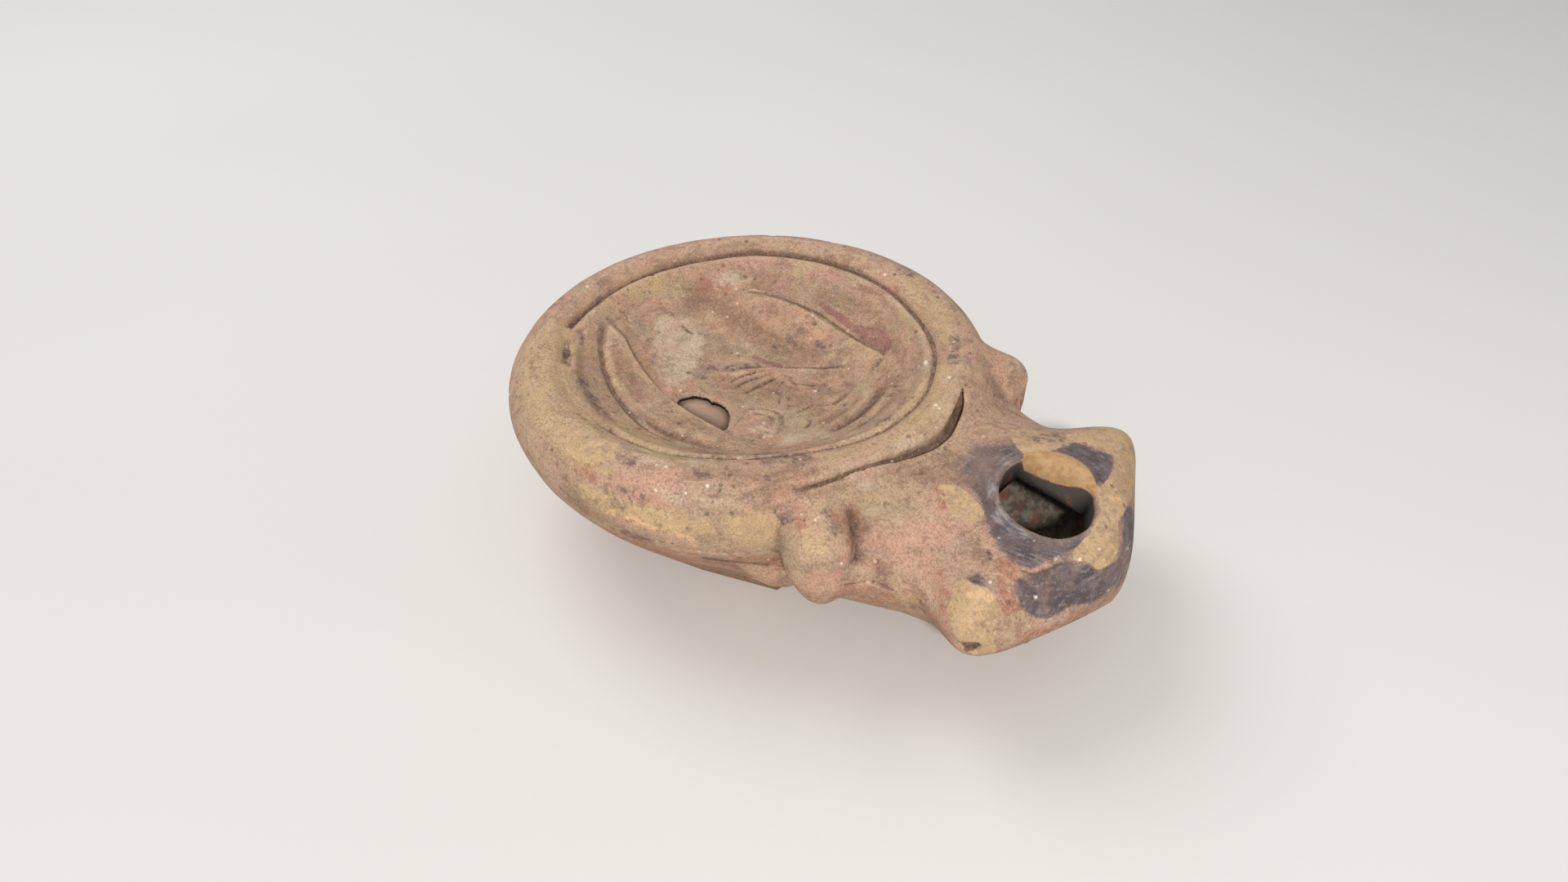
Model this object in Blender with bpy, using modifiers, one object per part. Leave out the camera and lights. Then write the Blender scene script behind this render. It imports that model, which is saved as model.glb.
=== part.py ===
"""Roman mould-made oil lamp of fired clay: one hollow vessel with a round relief discus,
a broken filling hole, two volute knobs and an angular nozzle with a round wick hole.

Metres, +Z up. The origin is the centre of the flat base, +X runs along the nozzle.
Plan and section measures are stated as shares of BODY_RADIUS, above the widest circle.
"""
import math

import bmesh
import bpy
import numpy as np

for old in list(bpy.data.objects):
    bpy.data.objects.remove(old, do_unlink=True)

# ---------------------------------------------------------------- driving dimensions
BODY_RADIUS = 0.036            # widest circle of the round body
WAIST_HEIGHT = 0.55            # widest circle above the base
BASE_RADIUS = 0.649            # flat base
RIM_TUBE = 0.197               # radius of the rounded shoulder
WALL_EXP_R, WALL_EXP_Z = 2.513, 1.228      # curve of the lower wall
GROOVE_RADIUS, GROOVE_FLOOR = 0.760, 0.125  # ring groove inside the rim
LIP_RADIUS, LIP_HEIGHT = 0.727, 0.140      # low lip inside that groove
DISCUS_EDGE, DISCUS_EDGE_Z = 0.735, 0.135  # bowl of the discus
DISCUS_CENTRE_Z, DISCUS_EXP = -0.070, 2.44
DISCUS_WALL = 0.068            # thickness of the discus
SIDE_WALL = 0.086              # thickness of the body wall
FLOOR_HEIGHT = -0.465          # chamber floor (base about 3 mm thick)
FOOT_GROOVE = 0.575            # fine ring cut under the base

NECK_GROOVE_RADIUS, NECK_GROOVE_Z = 0.930, 0.157   # deep arc between shoulder and nozzle
NECK_GROOVE_TUBE = 0.040
NECK_GROOVE_FROM, NECK_GROOVE_TO = -41.0, 34.0      # degrees

# the two sides of the hand-finished nozzle differ a little: far (+Y) and near (-Y)
NECK_HALF, NECK_X = {1: 0.541, -1: 0.524}, {1: 1.128, -1: 1.193}     # waist
WING_HALF, WING_X = {1: 0.674, -1: 0.631}, {1: 1.354, -1: 1.427}     # blunt wings
FRONT_SLOPE, CORNER_SOFT = {1: 0.484, -1: 0.459}, {1: 0.146, -1: 0.120}
ROOT_HALF = 0.640                      # where it grows out of the body
APEX_X, APEX_BLUNT = 1.760, 0.120      # where the two front facets would meet, and their wear

WICK_X, WICK_Y, WICK_LONG, WICK_SHORT, WICK_TURN = 1.387, -0.021, 0.208, 0.170, 129.7
FILL_X, FILL_Y = -0.030, -0.274
KNOB_ANGLE, KNOB_DISTANCE, KNOB_RADIUS = {1: 38.0, -1: 36.7}, {1: 0.990, -1: 1.022}, {1: 0.165, -1: 0.156}
KNOB_LOW, KNOB_HIGH = -0.255, 0.072
DIMPLE_X, DIMPLE_Y, DIMPLE_Z, DIMPLE_RADIUS = 1.448, -0.600, -0.150, 0.036   # small pit in the near wing

BODY_STEPS, CHAMBER_STEPS = 64, 40

R = BODY_RADIUS


def up(z):
    """Height above the base in metres of a height stated above the widest circle."""
    return (z + WAIST_HEIGHT) * R


def smooth(a, b, x):
    t = np.clip((np.asarray(x, float) - a) / (b - a), 0.0, 1.0)
    return t * t * (3.0 - 2.0 * t)


# ---------------------------------------------------------------- profiles
def discus_z(r):
    return DISCUS_CENTRE_Z + (DISCUS_EDGE_Z - DISCUS_CENTRE_Z) * (np.asarray(r, float) / DISCUS_EDGE) ** DISCUS_EXP


def outer_profile():
    """Right half of the section, from the centre of the discus over the rim down to the base's centre."""
    rings = [0.0, 0.06, 0.12, 0.18, 0.235, 0.285, 0.325, 0.36, 0.39, 0.425, 0.465, 0.50,
             0.535, 0.565, 0.60, 0.64, 0.685]
    points = [(r, float(discus_z(r))) for r in rings]
    points += [(LIP_RADIUS - 0.014, LIP_HEIGHT - 0.010), (LIP_RADIUS, LIP_HEIGHT),
               (LIP_RADIUS + 0.018, LIP_HEIGHT - 0.003),
               (GROOVE_RADIUS, GROOVE_FLOOR), (GROOVE_RADIUS + 0.013, GROOVE_FLOOR + 0.022),
               (GROOVE_RADIUS + 0.026, GROOVE_FLOOR + 0.034)]
    points += [(0.803, 0.168), (0.825, 0.180), (0.860, 0.182), (0.890, 0.174)]
    crest = 1.0 - RIM_TUBE
    for degrees in (56, 42, 28, 14, 0):
        a = math.radians(degrees)
        points.append((crest + RIM_TUBE * math.cos(a), RIM_TUBE * math.sin(a)))
    for degrees in (14, 25, 36, 47, 57, 67, 77):
        a = math.radians(degrees)
        points.append((BASE_RADIUS + (1.0 - BASE_RADIUS) * math.cos(a) ** WALL_EXP_R,
                       -WAIST_HEIGHT * math.sin(a) ** WALL_EXP_Z))
    points += [(BASE_RADIUS, -WAIST_HEIGHT),
               (FOOT_GROOVE + 0.016, -WAIST_HEIGHT), (FOOT_GROOVE, -WAIST_HEIGHT + 0.014),
               (FOOT_GROOVE - 0.016, -WAIST_HEIGHT), (0.0, -WAIST_HEIGHT)]
    return points


def wall_radius(z):
    """Outer radius of the lower wall at a height below the widest circle."""
    s = min(1.0, (-z / WAIST_HEIGHT)) ** (1.0 / WALL_EXP_Z)
    return BASE_RADIUS + (1.0 - BASE_RADIUS) * math.sqrt(max(0.0, 1.0 - s * s)) ** WALL_EXP_R


def chamber_profile():
    """The hollow follows the outside at the thickness of the wall."""
    points = [(r, float(discus_z(r)) - DISCUS_WALL) for r in (0.0, 0.2, 0.36, 0.50, 0.62)]
    points += [(0.72, 0.040), (0.80, 0.072), (0.862, 0.062), (0.905, 0.018)]
    for z in (-0.06, -0.16, -0.26, -0.35):
        points.append((wall_radius(z) - SIDE_WALL, z))
    points += [(0.655, -0.425), (0.575, FLOOR_HEIGHT), (0.0, FLOOR_HEIGHT)]
    return points


# ---------------------------------------------------------------- relief of the discus
def lune(x, y):
    """Crescent between two arcs along the near left edge of the discus, highest at its inner edge."""
    inside = 0.766 - np.hypot(x + 0.020, y - 0.210)
    beyond = np.hypot(x - 0.156, y - 1.093) - 1.471
    inner = smooth(-0.030, 0.020, beyond)
    outer = smooth(-0.004, 0.060, inside)
    fade = 1.0 - smooth(0.10, 0.48, x)
    return inner * outer * fade * (0.050 - 0.12 * np.clip(beyond, 0.0, 0.3))


def leaf(x, y):
    """Long pointed leaf along the far edge, with a crisp outer edge and a hollow midrib."""
    outer = 1.244 - np.hypot(x + 0.081, y + 0.749)
    ends = smooth(-0.56, -0.36, x) * (1.0 - smooth(0.34, 0.46, x))
    body = smooth(-0.030, 0.030, outer) * (1.0 - smooth(0.06, 0.19, outer))
    hollow = smooth(0.13, 0.20, outer) * (1.0 - smooth(0.24, 0.34, outer))
    behind = (1.0 - smooth(0.030, 0.105, -outer)) * smooth(0.0, 0.03, -outer)
    return ends * (0.036 * body - 0.016 * hollow - 0.014 * behind)


def relief(x, y):
    """Height of the worn relief above the bowl of the discus."""
    x, y = np.asarray(x, float), np.asarray(y, float)
    turn = math.radians(-32.0)
    bx = (x - 0.215) * math.cos(turn) + (y + 0.190) * math.sin(turn)
    by = -(x - 0.215) * math.sin(turn) + (y + 0.190) * math.cos(turn)
    boss = 0.018 * (1.0 - smooth(0.55, 1.05, np.hypot(bx / 0.110, by / 0.075)))
    return lune(x, y) + leaf(x, y) + boss


# ---------------------------------------------------------------- helpers
def collection(name):
    made = bpy.data.collections.new(name)
    bpy.context.scene.collection.children.link(made)
    return made


LAMP = collection("roman_oil_lamp")
CUTTERS = collection("cutters")


def add_object(name, mesh, home, cutter=False):
    made = bpy.data.objects.new(name, mesh)
    home.objects.link(made)
    if cutter:
        made.hide_render = True
        made.display_type = 'WIRE'
    return made


def turned(name, profile, steps, home, cutter=False):
    """A profile turned about +Z by a Screw modifier, made a mesh."""
    mesh = bpy.data.meshes.new(name + "_profile")
    rows = [(r * R, 0.0, up(z)) for r, z in profile]
    mesh.from_pydata(rows, [(i, i + 1) for i in range(len(rows) - 1)], [])
    guide = add_object(name + "_profile", mesh, home, True)
    screw = guide.modifiers.new("turn", 'SCREW')
    screw.axis = 'Z'
    screw.angle = 2.0 * math.pi
    screw.steps = steps
    screw.render_steps = steps
    screw.use_merge_vertices = True
    screw.merge_threshold = 0.00001
    bpy.context.view_layer.update()
    evaluated = guide.evaluated_get(bpy.context.evaluated_depsgraph_get())
    solid = bpy.data.meshes.new_from_object(evaluated)
    bpy.data.objects.remove(guide, do_unlink=True)
    solid.name = name
    return add_object(name, solid, home, cutter)


def loft(name, sections, home, cutter=False):
    """A closed solid through sections with the same number of points; its ends are capped."""
    shape = bmesh.new()
    loops = [[shape.verts.new(point) for point in section] for section in sections]
    count = len(loops[0])
    for a, b in zip(loops, loops[1:]):
        for i in range(count):
            j = (i + 1) % count
            shape.faces.new((a[i], a[j], b[j], b[i]))
    shape.faces.new(list(reversed(loops[0])))
    shape.faces.new(loops[-1])
    bmesh.ops.recalc_face_normals(shape, faces=shape.faces)
    mesh = bpy.data.meshes.new(name)
    shape.to_mesh(mesh)
    shape.free()
    return add_object(name, mesh, home, cutter)


def boat_section(x, far, near, top, edge, bottom, count=12):
    """Upright section across the nozzle: a domed top and a rounded keel that meet in a soft side edge."""
    points = []
    for k in range(count + 1):
        s = math.cos(math.pi * k / count)
        points.append(((far if s > 0 else near) * s, edge + (top - edge) * max(0.0, 1.0 - abs(s) ** 2.4) ** 0.60))
    for k in range(1, count):
        s = math.cos(math.pi * k / count)
        points.append((-(far if s < 0 else near) * s, edge - (edge - bottom) * max(0.0, 1.0 - abs(s) ** 2.5) ** 0.50))
    return [(x * R, y * R, up(z)) for y, z in points]


def stations(table, at):
    """Values between named stations, on a smooth curve without overshoot."""
    table = np.asarray(table, float)
    x = table[:, 0]
    found = []
    for column in table[:, 1:].T:
        step = np.diff(column) / np.diff(x)
        slope = np.zeros_like(column)
        slope[0], slope[-1] = step[0], step[-1]
        for i in range(1, len(column) - 1):
            if step[i - 1] * step[i] > 0:
                slope[i] = 2.0 / (1.0 / step[i - 1] + 1.0 / step[i])
        i = int(np.clip(np.searchsorted(x, at) - 1, 0, len(x) - 2))
        h = x[i + 1] - x[i]
        t = (at - x[i]) / h
        found.append(float((2 * t ** 3 - 3 * t ** 2 + 1) * column[i] + (t ** 3 - 2 * t ** 2 + t) * h * slope[i]
                           + (3 * t ** 2 - 2 * t ** 3) * column[i + 1] + (t ** 3 - t ** 2) * h * slope[i + 1]))
    return found


def boolean(target, other, operation):
    step = target.modifiers.new(operation.lower() + "_" + other.name, 'BOOLEAN')
    step.operation = operation
    step.solver = 'EXACT'
    step.object = other


def clay(name, colour, roughness):
    made = bpy.data.materials.new(name)
    made.use_nodes = True
    shader = made.node_tree.nodes["Principled BSDF"]
    shader.inputs["Base Color"].default_value = (*colour, 1.0)
    shader.inputs["Roughness"].default_value = roughness
    shader.inputs["Metallic"].default_value = 0.0
    return made


# ---------------------------------------------------------------- round body with its relief
body = turned("lamp_body", outer_profile(), BODY_STEPS, LAMP)
for vertex in body.data.vertices:
    x, y = vertex.co.x / R, vertex.co.y / R
    if math.hypot(x, y) < 0.70 and vertex.co.z > up(-0.2):
        vertex.co.z += float(relief(x, y)) * R

# ---------------------------------------------------------------- nozzle
def half_width(x, side):
    """Plan of one side of the nozzle: a concave flank that flares to the wing, then a straight front facet."""
    flank = (NECK_HALF[side] + (WING_HALF[side] - NECK_HALF[side]) * smooth(NECK_X[side], WING_X[side], x)
             + (ROOT_HALF - NECK_HALF[side]) * (1.0 - smooth(0.80, NECK_X[side], x)))
    reach = (APEX_X - x) / FRONT_SLOPE[side]
    front = math.sqrt(max(0.0, reach * reach - APEX_BLUNT ** 2))
    soft = CORNER_SOFT[side]
    h = min(1.0, max(0.0, 0.5 + 0.5 * (front - flank) / soft))
    return max(0.030, float(front * (1.0 - h) + flank * h - soft * h * (1.0 - h)))


# x, top, side edge, bottom
NOZZLE = [
    (0.72, 0.070, -0.157, -0.400),
    (0.90, 0.112, -0.157, -0.455),
    (1.147, 0.108, -0.157, -0.446),
    (1.416, 0.096, -0.080, -0.380),
    (1.590, 0.084, -0.150, -0.300),
    (1.655, 0.030, -0.163, -0.265),
    (1.702, -0.060, -0.163, -0.238),
]
NOZZLE_AT = [0.72, 0.82, 0.90, 0.96, 1.02, 1.08, 1.147, 1.20, 1.25, 1.30, 1.34, 1.375, 1.40, 1.42,
             1.44, 1.465, 1.50, 1.54, 1.58, 1.615, 1.648, 1.672, 1.688, 1.699]
sections = []
for x in NOZZLE_AT:
    top, edge, bottom = stations(NOZZLE, x)
    sections.append(boat_section(x, half_width(x, 1), half_width(x, -1), top, edge, bottom))
nozzle = loft("nozzle_form", sections, CUTTERS, True)

# ---------------------------------------------------------------- volute knobs beside the nozzle
knobs = []
for side in (1, -1):
    shape = bmesh.new()
    bmesh.ops.create_uvsphere(shape, u_segments=20, v_segments=12, radius=1.0)
    a = math.radians(KNOB_ANGLE[side])
    for vertex in shape.verts:
        # full cheeks and a flattened crown
        z = vertex.co.z
        swell = math.sqrt((1.0 - abs(z) ** 2.4) / (1.0 - z * z)) if abs(z) < 0.999 else 1.0
        vertex.co.x = (vertex.co.x * swell * KNOB_RADIUS[side] + KNOB_DISTANCE[side] * math.cos(a)) * R
        vertex.co.y = (vertex.co.y * swell * KNOB_RADIUS[side] + side * KNOB_DISTANCE[side] * math.sin(a)) * R
        vertex.co.z = up(0.5 * (KNOB_LOW + KNOB_HIGH) + 0.5 * z * (KNOB_HIGH - KNOB_LOW))
    mesh = bpy.data.meshes.new("knob_form")
    shape.to_mesh(mesh)
    shape.free()
    knobs.append(add_object("knob_form_far" if side > 0 else "knob_form_near", mesh, CUTTERS, True))

shape = bmesh.new()
bmesh.ops.create_uvsphere(shape, u_segments=12, v_segments=8, radius=DIMPLE_RADIUS * R)
bmesh.ops.translate(shape, verts=shape.verts, vec=(DIMPLE_X * R, DIMPLE_Y * R, up(DIMPLE_Z)))
mesh = bpy.data.meshes.new("dimple_form")
shape.to_mesh(mesh)
shape.free()
dimple = add_object("dimple_form", mesh, CUTTERS, True)

# ---------------------------------------------------------------- the hollow
chamber = turned("chamber_form", chamber_profile(), CHAMBER_STEPS, CUTTERS, True)

# x, half width, top, side edge, bottom
CHANNEL = [
    (0.50, 0.340, -0.030, -0.200, -0.400),
    (0.90, 0.400, 0.010, -0.150, -0.365),
    (1.147, 0.380, 0.012, -0.140, -0.355),
    (1.34, 0.360, -0.006, -0.120, -0.300),
    (1.47, 0.290, -0.022, -0.130, -0.250),
    (1.55, 0.180, -0.040, -0.140, -0.218),
    (1.59, 0.090, -0.075, -0.140, -0.195),
]
CHANNEL_AT = [0.50, 0.70, 0.90, 1.03, 1.147, 1.25, 1.34, 1.41, 1.47, 1.52, 1.56, 1.59]
sections = []
for x in CHANNEL_AT:
    width, top, edge, bottom = stations(CHANNEL, x)
    sections.append(boat_section(x, width, width, top, edge, bottom, 9))
channel = loft("channel_form", sections, CUTTERS, True)


def prism(name, outline, low, high):
    """Upright cutter on a closed outline."""
    shape = bmesh.new()
    bmesh.ops.create_cone(shape, cap_ends=True, cap_tris=False, segments=len(outline),
                          radius1=1.0, radius2=1.0, depth=1.0)
    for vertex in shape.verts:
        k = round(math.atan2(vertex.co.y, vertex.co.x) / (2.0 * math.pi) * len(outline)) % len(outline)
        x, y = outline[k]
        vertex.co = (x * R, y * R, up(high if vertex.co.z > 0 else low))
    mesh = bpy.data.meshes.new(name)
    shape.to_mesh(mesh)
    shape.free()
    return add_object(name, mesh, CUTTERS, True)


def around(cx, cy, count, radius, turn=0.0):
    """A closed outline round a centre; radius(a) gives its two half axes, turned by an angle."""
    c, s = math.cos(math.radians(turn)), math.sin(math.radians(turn))
    outline = []
    for k in range(count):
        a = 2.0 * math.pi * k / count
        u, v = radius(a)[0] * math.cos(a), radius(a)[1] * math.sin(a)
        outline.append((cx + u * c - v * s, cy + u * s + v * c))
    return outline


def wick_radius(a):
    worn = 1.0 + 0.018 * math.cos(3.0 * a + 0.8) + 0.012 * math.cos(5.0 * a)
    return WICK_LONG * worn, WICK_SHORT * worn


def fill_radius(a):
    """Broken edge of the filling hole: an oval with bites, about 8 mm by 7 mm."""
    bite = (1.0 + 0.13 * math.cos(2.0 * a + 0.35) - 0.13 * math.exp(-((a - 1.55) / 0.45) ** 2)
            + 0.05 * math.cos(5.0 * a + 1.0) + 0.03 * math.cos(8.0 * a))
    return 0.120 * bite, 0.104 * bite


wick_hole = prism("wick_hole_form", around(WICK_X, WICK_Y, 32, wick_radius, WICK_TURN), -0.10, 0.30)
fill_hole = prism("fill_hole_form", around(FILL_X, FILL_Y, 26, fill_radius), -0.25, 0.20)


def bent_tube(name, points, radius):
    """A round tube on a poly line, made a closed mesh."""
    curve = bpy.data.curves.new(name, 'CURVE')
    curve.dimensions = '3D'
    spline = curve.splines.new('POLY')
    spline.points.add(len(points) - 1)
    for at, point in zip(spline.points, points):
        at.co = (*point, 1.0)
    curve.bevel_depth = radius
    curve.bevel_resolution = 2
    curve.use_fill_caps = True
    guide = bpy.data.objects.new(name + "_curve", curve)
    CUTTERS.objects.link(guide)
    bpy.context.view_layer.update()
    evaluated = guide.evaluated_get(bpy.context.evaluated_depsgraph_get())
    mesh = bpy.data.meshes.new_from_object(evaluated)
    bpy.data.objects.remove(guide, do_unlink=True)
    shape = bmesh.new()
    shape.from_mesh(mesh)
    bmesh.ops.remove_doubles(shape, verts=shape.verts, dist=0.00002)
    bmesh.ops.recalc_face_normals(shape, faces=shape.faces)
    shape.to_mesh(mesh)
    shape.free()
    return add_object(name, mesh, CUTTERS, True)


arc = [math.radians(NECK_GROOVE_FROM + (NECK_GROOVE_TO - NECK_GROOVE_FROM) * k / 24) for k in range(25)]
neck_groove = bent_tube("neck_groove_form", [
    (NECK_GROOVE_RADIUS * R * math.cos(a), NECK_GROOVE_RADIUS * R * math.sin(a), up(NECK_GROOVE_Z)) for a in arc],
    NECK_GROOVE_TUBE * R)

# ---------------------------------------------------------------- one body
boolean(body, nozzle, 'UNION')
for knob in knobs:
    boolean(body, knob, 'UNION')
boolean(body, neck_groove, 'DIFFERENCE')
boolean(body, chamber, 'DIFFERENCE')
boolean(body, channel, 'DIFFERENCE')
boolean(body, wick_hole, 'DIFFERENCE')
boolean(body, fill_hole, 'DIFFERENCE')
boolean(body, dimple, 'DIFFERENCE')

body.data.shade_smooth()
body.data.set_sharp_from_angle(angle=math.radians(40.0))
body.data.materials.append(clay("fired_clay", (0.46, 0.31, 0.21), 0.85))
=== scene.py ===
import math

import bpy
import numpy as np
from mathutils import Matrix, Vector


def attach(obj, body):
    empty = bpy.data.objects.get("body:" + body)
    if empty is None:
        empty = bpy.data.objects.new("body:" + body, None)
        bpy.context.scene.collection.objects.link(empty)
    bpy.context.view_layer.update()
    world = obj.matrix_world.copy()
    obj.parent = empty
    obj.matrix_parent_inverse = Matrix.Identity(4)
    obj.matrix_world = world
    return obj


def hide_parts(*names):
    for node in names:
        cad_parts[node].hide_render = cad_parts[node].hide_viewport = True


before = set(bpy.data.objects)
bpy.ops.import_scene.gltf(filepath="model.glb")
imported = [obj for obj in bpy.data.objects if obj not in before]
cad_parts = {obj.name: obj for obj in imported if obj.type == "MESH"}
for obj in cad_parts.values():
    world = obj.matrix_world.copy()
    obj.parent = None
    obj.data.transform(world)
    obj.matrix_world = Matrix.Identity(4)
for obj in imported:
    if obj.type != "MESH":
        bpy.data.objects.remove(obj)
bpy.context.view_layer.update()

R = 0.036
WAIST = 0.55
STEP = 0.0102          # spacing of the sampling grid
TRIANGLES = 196000                               # kept after thinning

# where the lamp is seen from, in metres, and that view's directions
VIEW_AT = np.array([0.088223, -0.098792, 0.112827])
VIEW_RIGHT = np.array([0.77649, 0.62997, -0.01406])
VIEW_UP = np.array([-0.38611, 0.49332, 0.77946])
VIEW_BACK = np.array([0.49797, -0.59981, 0.62630])
VIEW_SCALE = 1303.675

rng = np.random.default_rng(11)


def smooth(a, b, x):
    """0 at a, 1 at b, eased; a may be above b."""
    t = np.clip((np.asarray(x, np.float32) - a) / (b - a), 0.0, 1.0)
    return t * t * (3.0 - 2.0 * t)


def smin(a, b, k):
    h = np.clip(0.5 + 0.5 * (b - a) / k, 0.0, 1.0)
    return b * (1.0 - h) + a * h - k * h * (1.0 - h)


def smax(a, b, k):
    return -smin(-a, -b, k)


# ---------------------------------------------------------------- noise
class Noise:
    """Smooth lattice noise between -1 and 1, and sums of its octaves."""

    def __init__(self, size=48):
        self.size = size
        self.table = (rng.random((size, size, size)) * 2.0 - 1.0).astype(np.float32)

    def at(self, x, y, z):
        n = self.size
        cell, part = [], []
        for c in (x, y, z):
            f = np.floor(c)
            t = (c - f).astype(np.float32)
            cell.append(f.astype(np.int64))
            part.append(t * t * (3.0 - 2.0 * t))
        i, j, k = cell
        u, v, w = part
        i0, j0, k0 = i % n, j % n, k % n
        i1, j1, k1 = (i + 1) % n, (j + 1) % n, (k + 1) % n
        g = self.table
        a = g[i0, j0, k0] * (1 - u) + g[i1, j0, k0] * u
        b = g[i0, j1, k0] * (1 - u) + g[i1, j1, k0] * u
        c = g[i0, j0, k1] * (1 - u) + g[i1, j0, k1] * u
        d = g[i0, j1, k1] * (1 - u) + g[i1, j1, k1] * u
        return (a * (1 - v) + b * v) * (1 - w) + (c * (1 - v) + d * v) * w

    def sum(self, x, y, z, scale, octaves=3, roughness=0.5):
        total, weight, norm = 0.0, 1.0, 0.0
        for o in range(octaves):
            total = total + weight * self.at(x * scale + 7.3 * o, y * scale + 3.1 * o, z * scale + 11.7 * o)
            norm += weight
            weight *= roughness
            scale *= 2.03
        return total / norm


noise = Noise()


# ---------------------------------------------------------------- plane curves
def spline(points, per=8, closed=False):
    """Points of a Catmull-Rom curve through a few given ones."""
    p = np.asarray(points, float)
    n = len(p)
    out = []
    for i in range(n if closed else n - 1):
        if closed:
            a, b, c, d = p[(i - 1) % n], p[i], p[(i + 1) % n], p[(i + 2) % n]
        else:
            b, c = p[i], p[i + 1]
            a = p[i - 1] if i > 0 else 2 * b - c
            d = p[i + 2] if i + 2 < n else 2 * c - b
        for t in np.arange(per) / per:
            out.append(0.5 * (2 * b + (c - a) * t + (2 * a - 5 * b + 4 * c - d) * t * t
                              + (3 * b - a - 3 * c + d) * t ** 3))
    if not closed:
        out.append(p[-1])
    return np.array(out)


def line_distance(x, y, line):
    """Distance to an open line, the side (+ left of it) and the place along it from 0 to 1."""
    best = np.full(x.shape, 1e9, np.float32)
    side = np.ones(x.shape, np.float32)
    place = np.zeros(x.shape, np.float32)
    lengths = np.hypot(*np.diff(line, axis=0).T)
    start = np.concatenate([[0.0], np.cumsum(lengths)]) / lengths.sum()
    for k, (a, b) in enumerate(zip(line, line[1:])):
        d = b - a
        t = np.clip(((x - a[0]) * d[0] + (y - a[1]) * d[1]) / (d @ d + 1e-12), 0.0, 1.0)
        dx, dy = x - a[0] - t * d[0], y - a[1] - t * d[1]
        q = np.hypot(dx, dy)
        near = q < best
        best = np.where(near, q, best)
        side = np.where(near, np.where(d[0] * dy - d[1] * dx >= 0, 1.0, -1.0), side)
        place = np.where(near, start[k] + t * (start[k + 1] - start[k]), place)
    return best, side, place


def area_distance(x, y, outline):
    """Signed distance to a closed outline, positive inside."""
    best = np.full(x.shape, 1e9, np.float32)
    inside = np.zeros(x.shape, bool)
    for a, b in zip(outline, np.roll(outline, -1, axis=0)):
        d = b - a
        t = np.clip(((x - a[0]) * d[0] + (y - a[1]) * d[1]) / (d @ d + 1e-12), 0.0, 1.0)
        best = np.minimum(best, np.hypot(x - a[0] - t * d[0], y - a[1] - t * d[1]))
        if a[1] != b[1]:
            crosses = (a[1] > y) != (b[1] > y)
            inside ^= crosses & (x < (b[0] - a[0]) * (y - a[1]) / (b[1] - a[1]) + a[0])
    return np.where(inside, best, -best)


class Plan:
    """A height map over the plan of the lamp, read with bilinear interpolation."""
    STEP = 0.004
    X0, X1, Y0, Y1 = -1.08, 1.80, -1.08, 1.08

    def __init__(self):
        self.xs = np.arange(self.X0, self.X1, self.STEP)
        self.ys = np.arange(self.Y0, self.Y1, self.STEP)
        self.x, self.y = (g.astype(np.float32) for g in np.meshgrid(self.xs, self.ys, indexing="ij"))
        self.h = np.zeros(self.x.shape, np.float32)

    def window(self, line, reach):
        lo, hi = line.min(0) - reach, line.max(0) + reach
        i0, i1 = np.searchsorted(self.xs, (lo[0], hi[0]))
        j0, j1 = np.searchsorted(self.ys, (lo[1], hi[1]))
        return np.s_[i0:i1, j0:j1]

    def stroke(self, points, width, depth, ends=0.12, bank=0.0, wobble=0.0):
        """A groove (negative depth) or ridge along a line; bank lifts the line's two sides."""
        line = spline(points)
        w = self.window(line, 4.0 * width)
        x, y = self.x[w], self.y[w]
        if wobble:
            x = x + wobble * noise.at(x * 22, y * 22, x * 0 + 3.3)
            y = y + wobble * noise.at(x * 22, y * 22, x * 0 + 9.1)
        d, side, t = line_distance(x, y, line)
        taper = smooth(0.0, ends, t) * (1.0 - smooth(1.0 - ends, 1.0, t))
        q = d / width
        self.h[w] += taper * (depth * np.exp(-q * q) + bank * np.exp(-((q - 1.9) / 0.9) ** 2))

    def step(self, points, rise, sharp, reach, ends=0.12):
        """The surface left of a line stands higher by rise at the line, and settles within reach."""
        line = spline(points)
        w = self.window(line, reach * 1.2)
        d, side, t = line_distance(self.x[w], self.y[w], line)
        s = d * side
        taper = smooth(0.0, ends, t) * (1.0 - smooth(1.0 - ends, 1.0, t))
        self.h[w] += taper * rise * smooth(-sharp, sharp, s) * (1.0 - smooth(0.0, reach, s))

    def read(self, x, y, grid=None):
        grid = self.h if grid is None else grid
        u = np.clip((x - self.X0) / self.STEP, 0, grid.shape[0] - 1.001)
        v = np.clip((y - self.Y0) / self.STEP, 0, grid.shape[1] - 1.001)
        i, j = u.astype(np.int32), v.astype(np.int32)
        a, b = (u - i).astype(np.float32), (v - j).astype(np.float32)
        return ((grid[i, j] * (1 - a) + grid[i + 1, j] * a) * (1 - b)
                + (grid[i, j + 1] * (1 - a) + grid[i + 1, j + 1] * a) * b)


# ---------------------------------------------------------------- turned forms
BASE_RADIUS = 0.649
RIM_TUBE = 0.197
WALL_EXP_R, WALL_EXP_Z = 2.513, 1.228
DISCUS_EDGE, DISCUS_EDGE_Z, DISCUS_CENTRE_Z, DISCUS_EXP = 0.735, 0.135, -0.070, 2.44


def discus_z(r):
    return DISCUS_CENTRE_Z + (DISCUS_EDGE_Z - DISCUS_CENTRE_Z) * (np.asarray(r, float) / DISCUS_EDGE) ** DISCUS_EXP


# where the ring groove runs, which is not quite round: degrees, radius
GROOVE_AT = [(-168, 0.772), (-154, 0.786), (-141, 0.750), (-115, 0.758), (-88, 0.764), (-73, 0.756), (-53, 0.730), (-34, 0.734),
             (-11, 0.772), (5, 0.772), (18, 0.764), (34, 0.758), (60, 0.724), (86, 0.742), (107, 0.768), (128, 0.780),
             (147, 0.768), (169, 0.774)]
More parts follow.
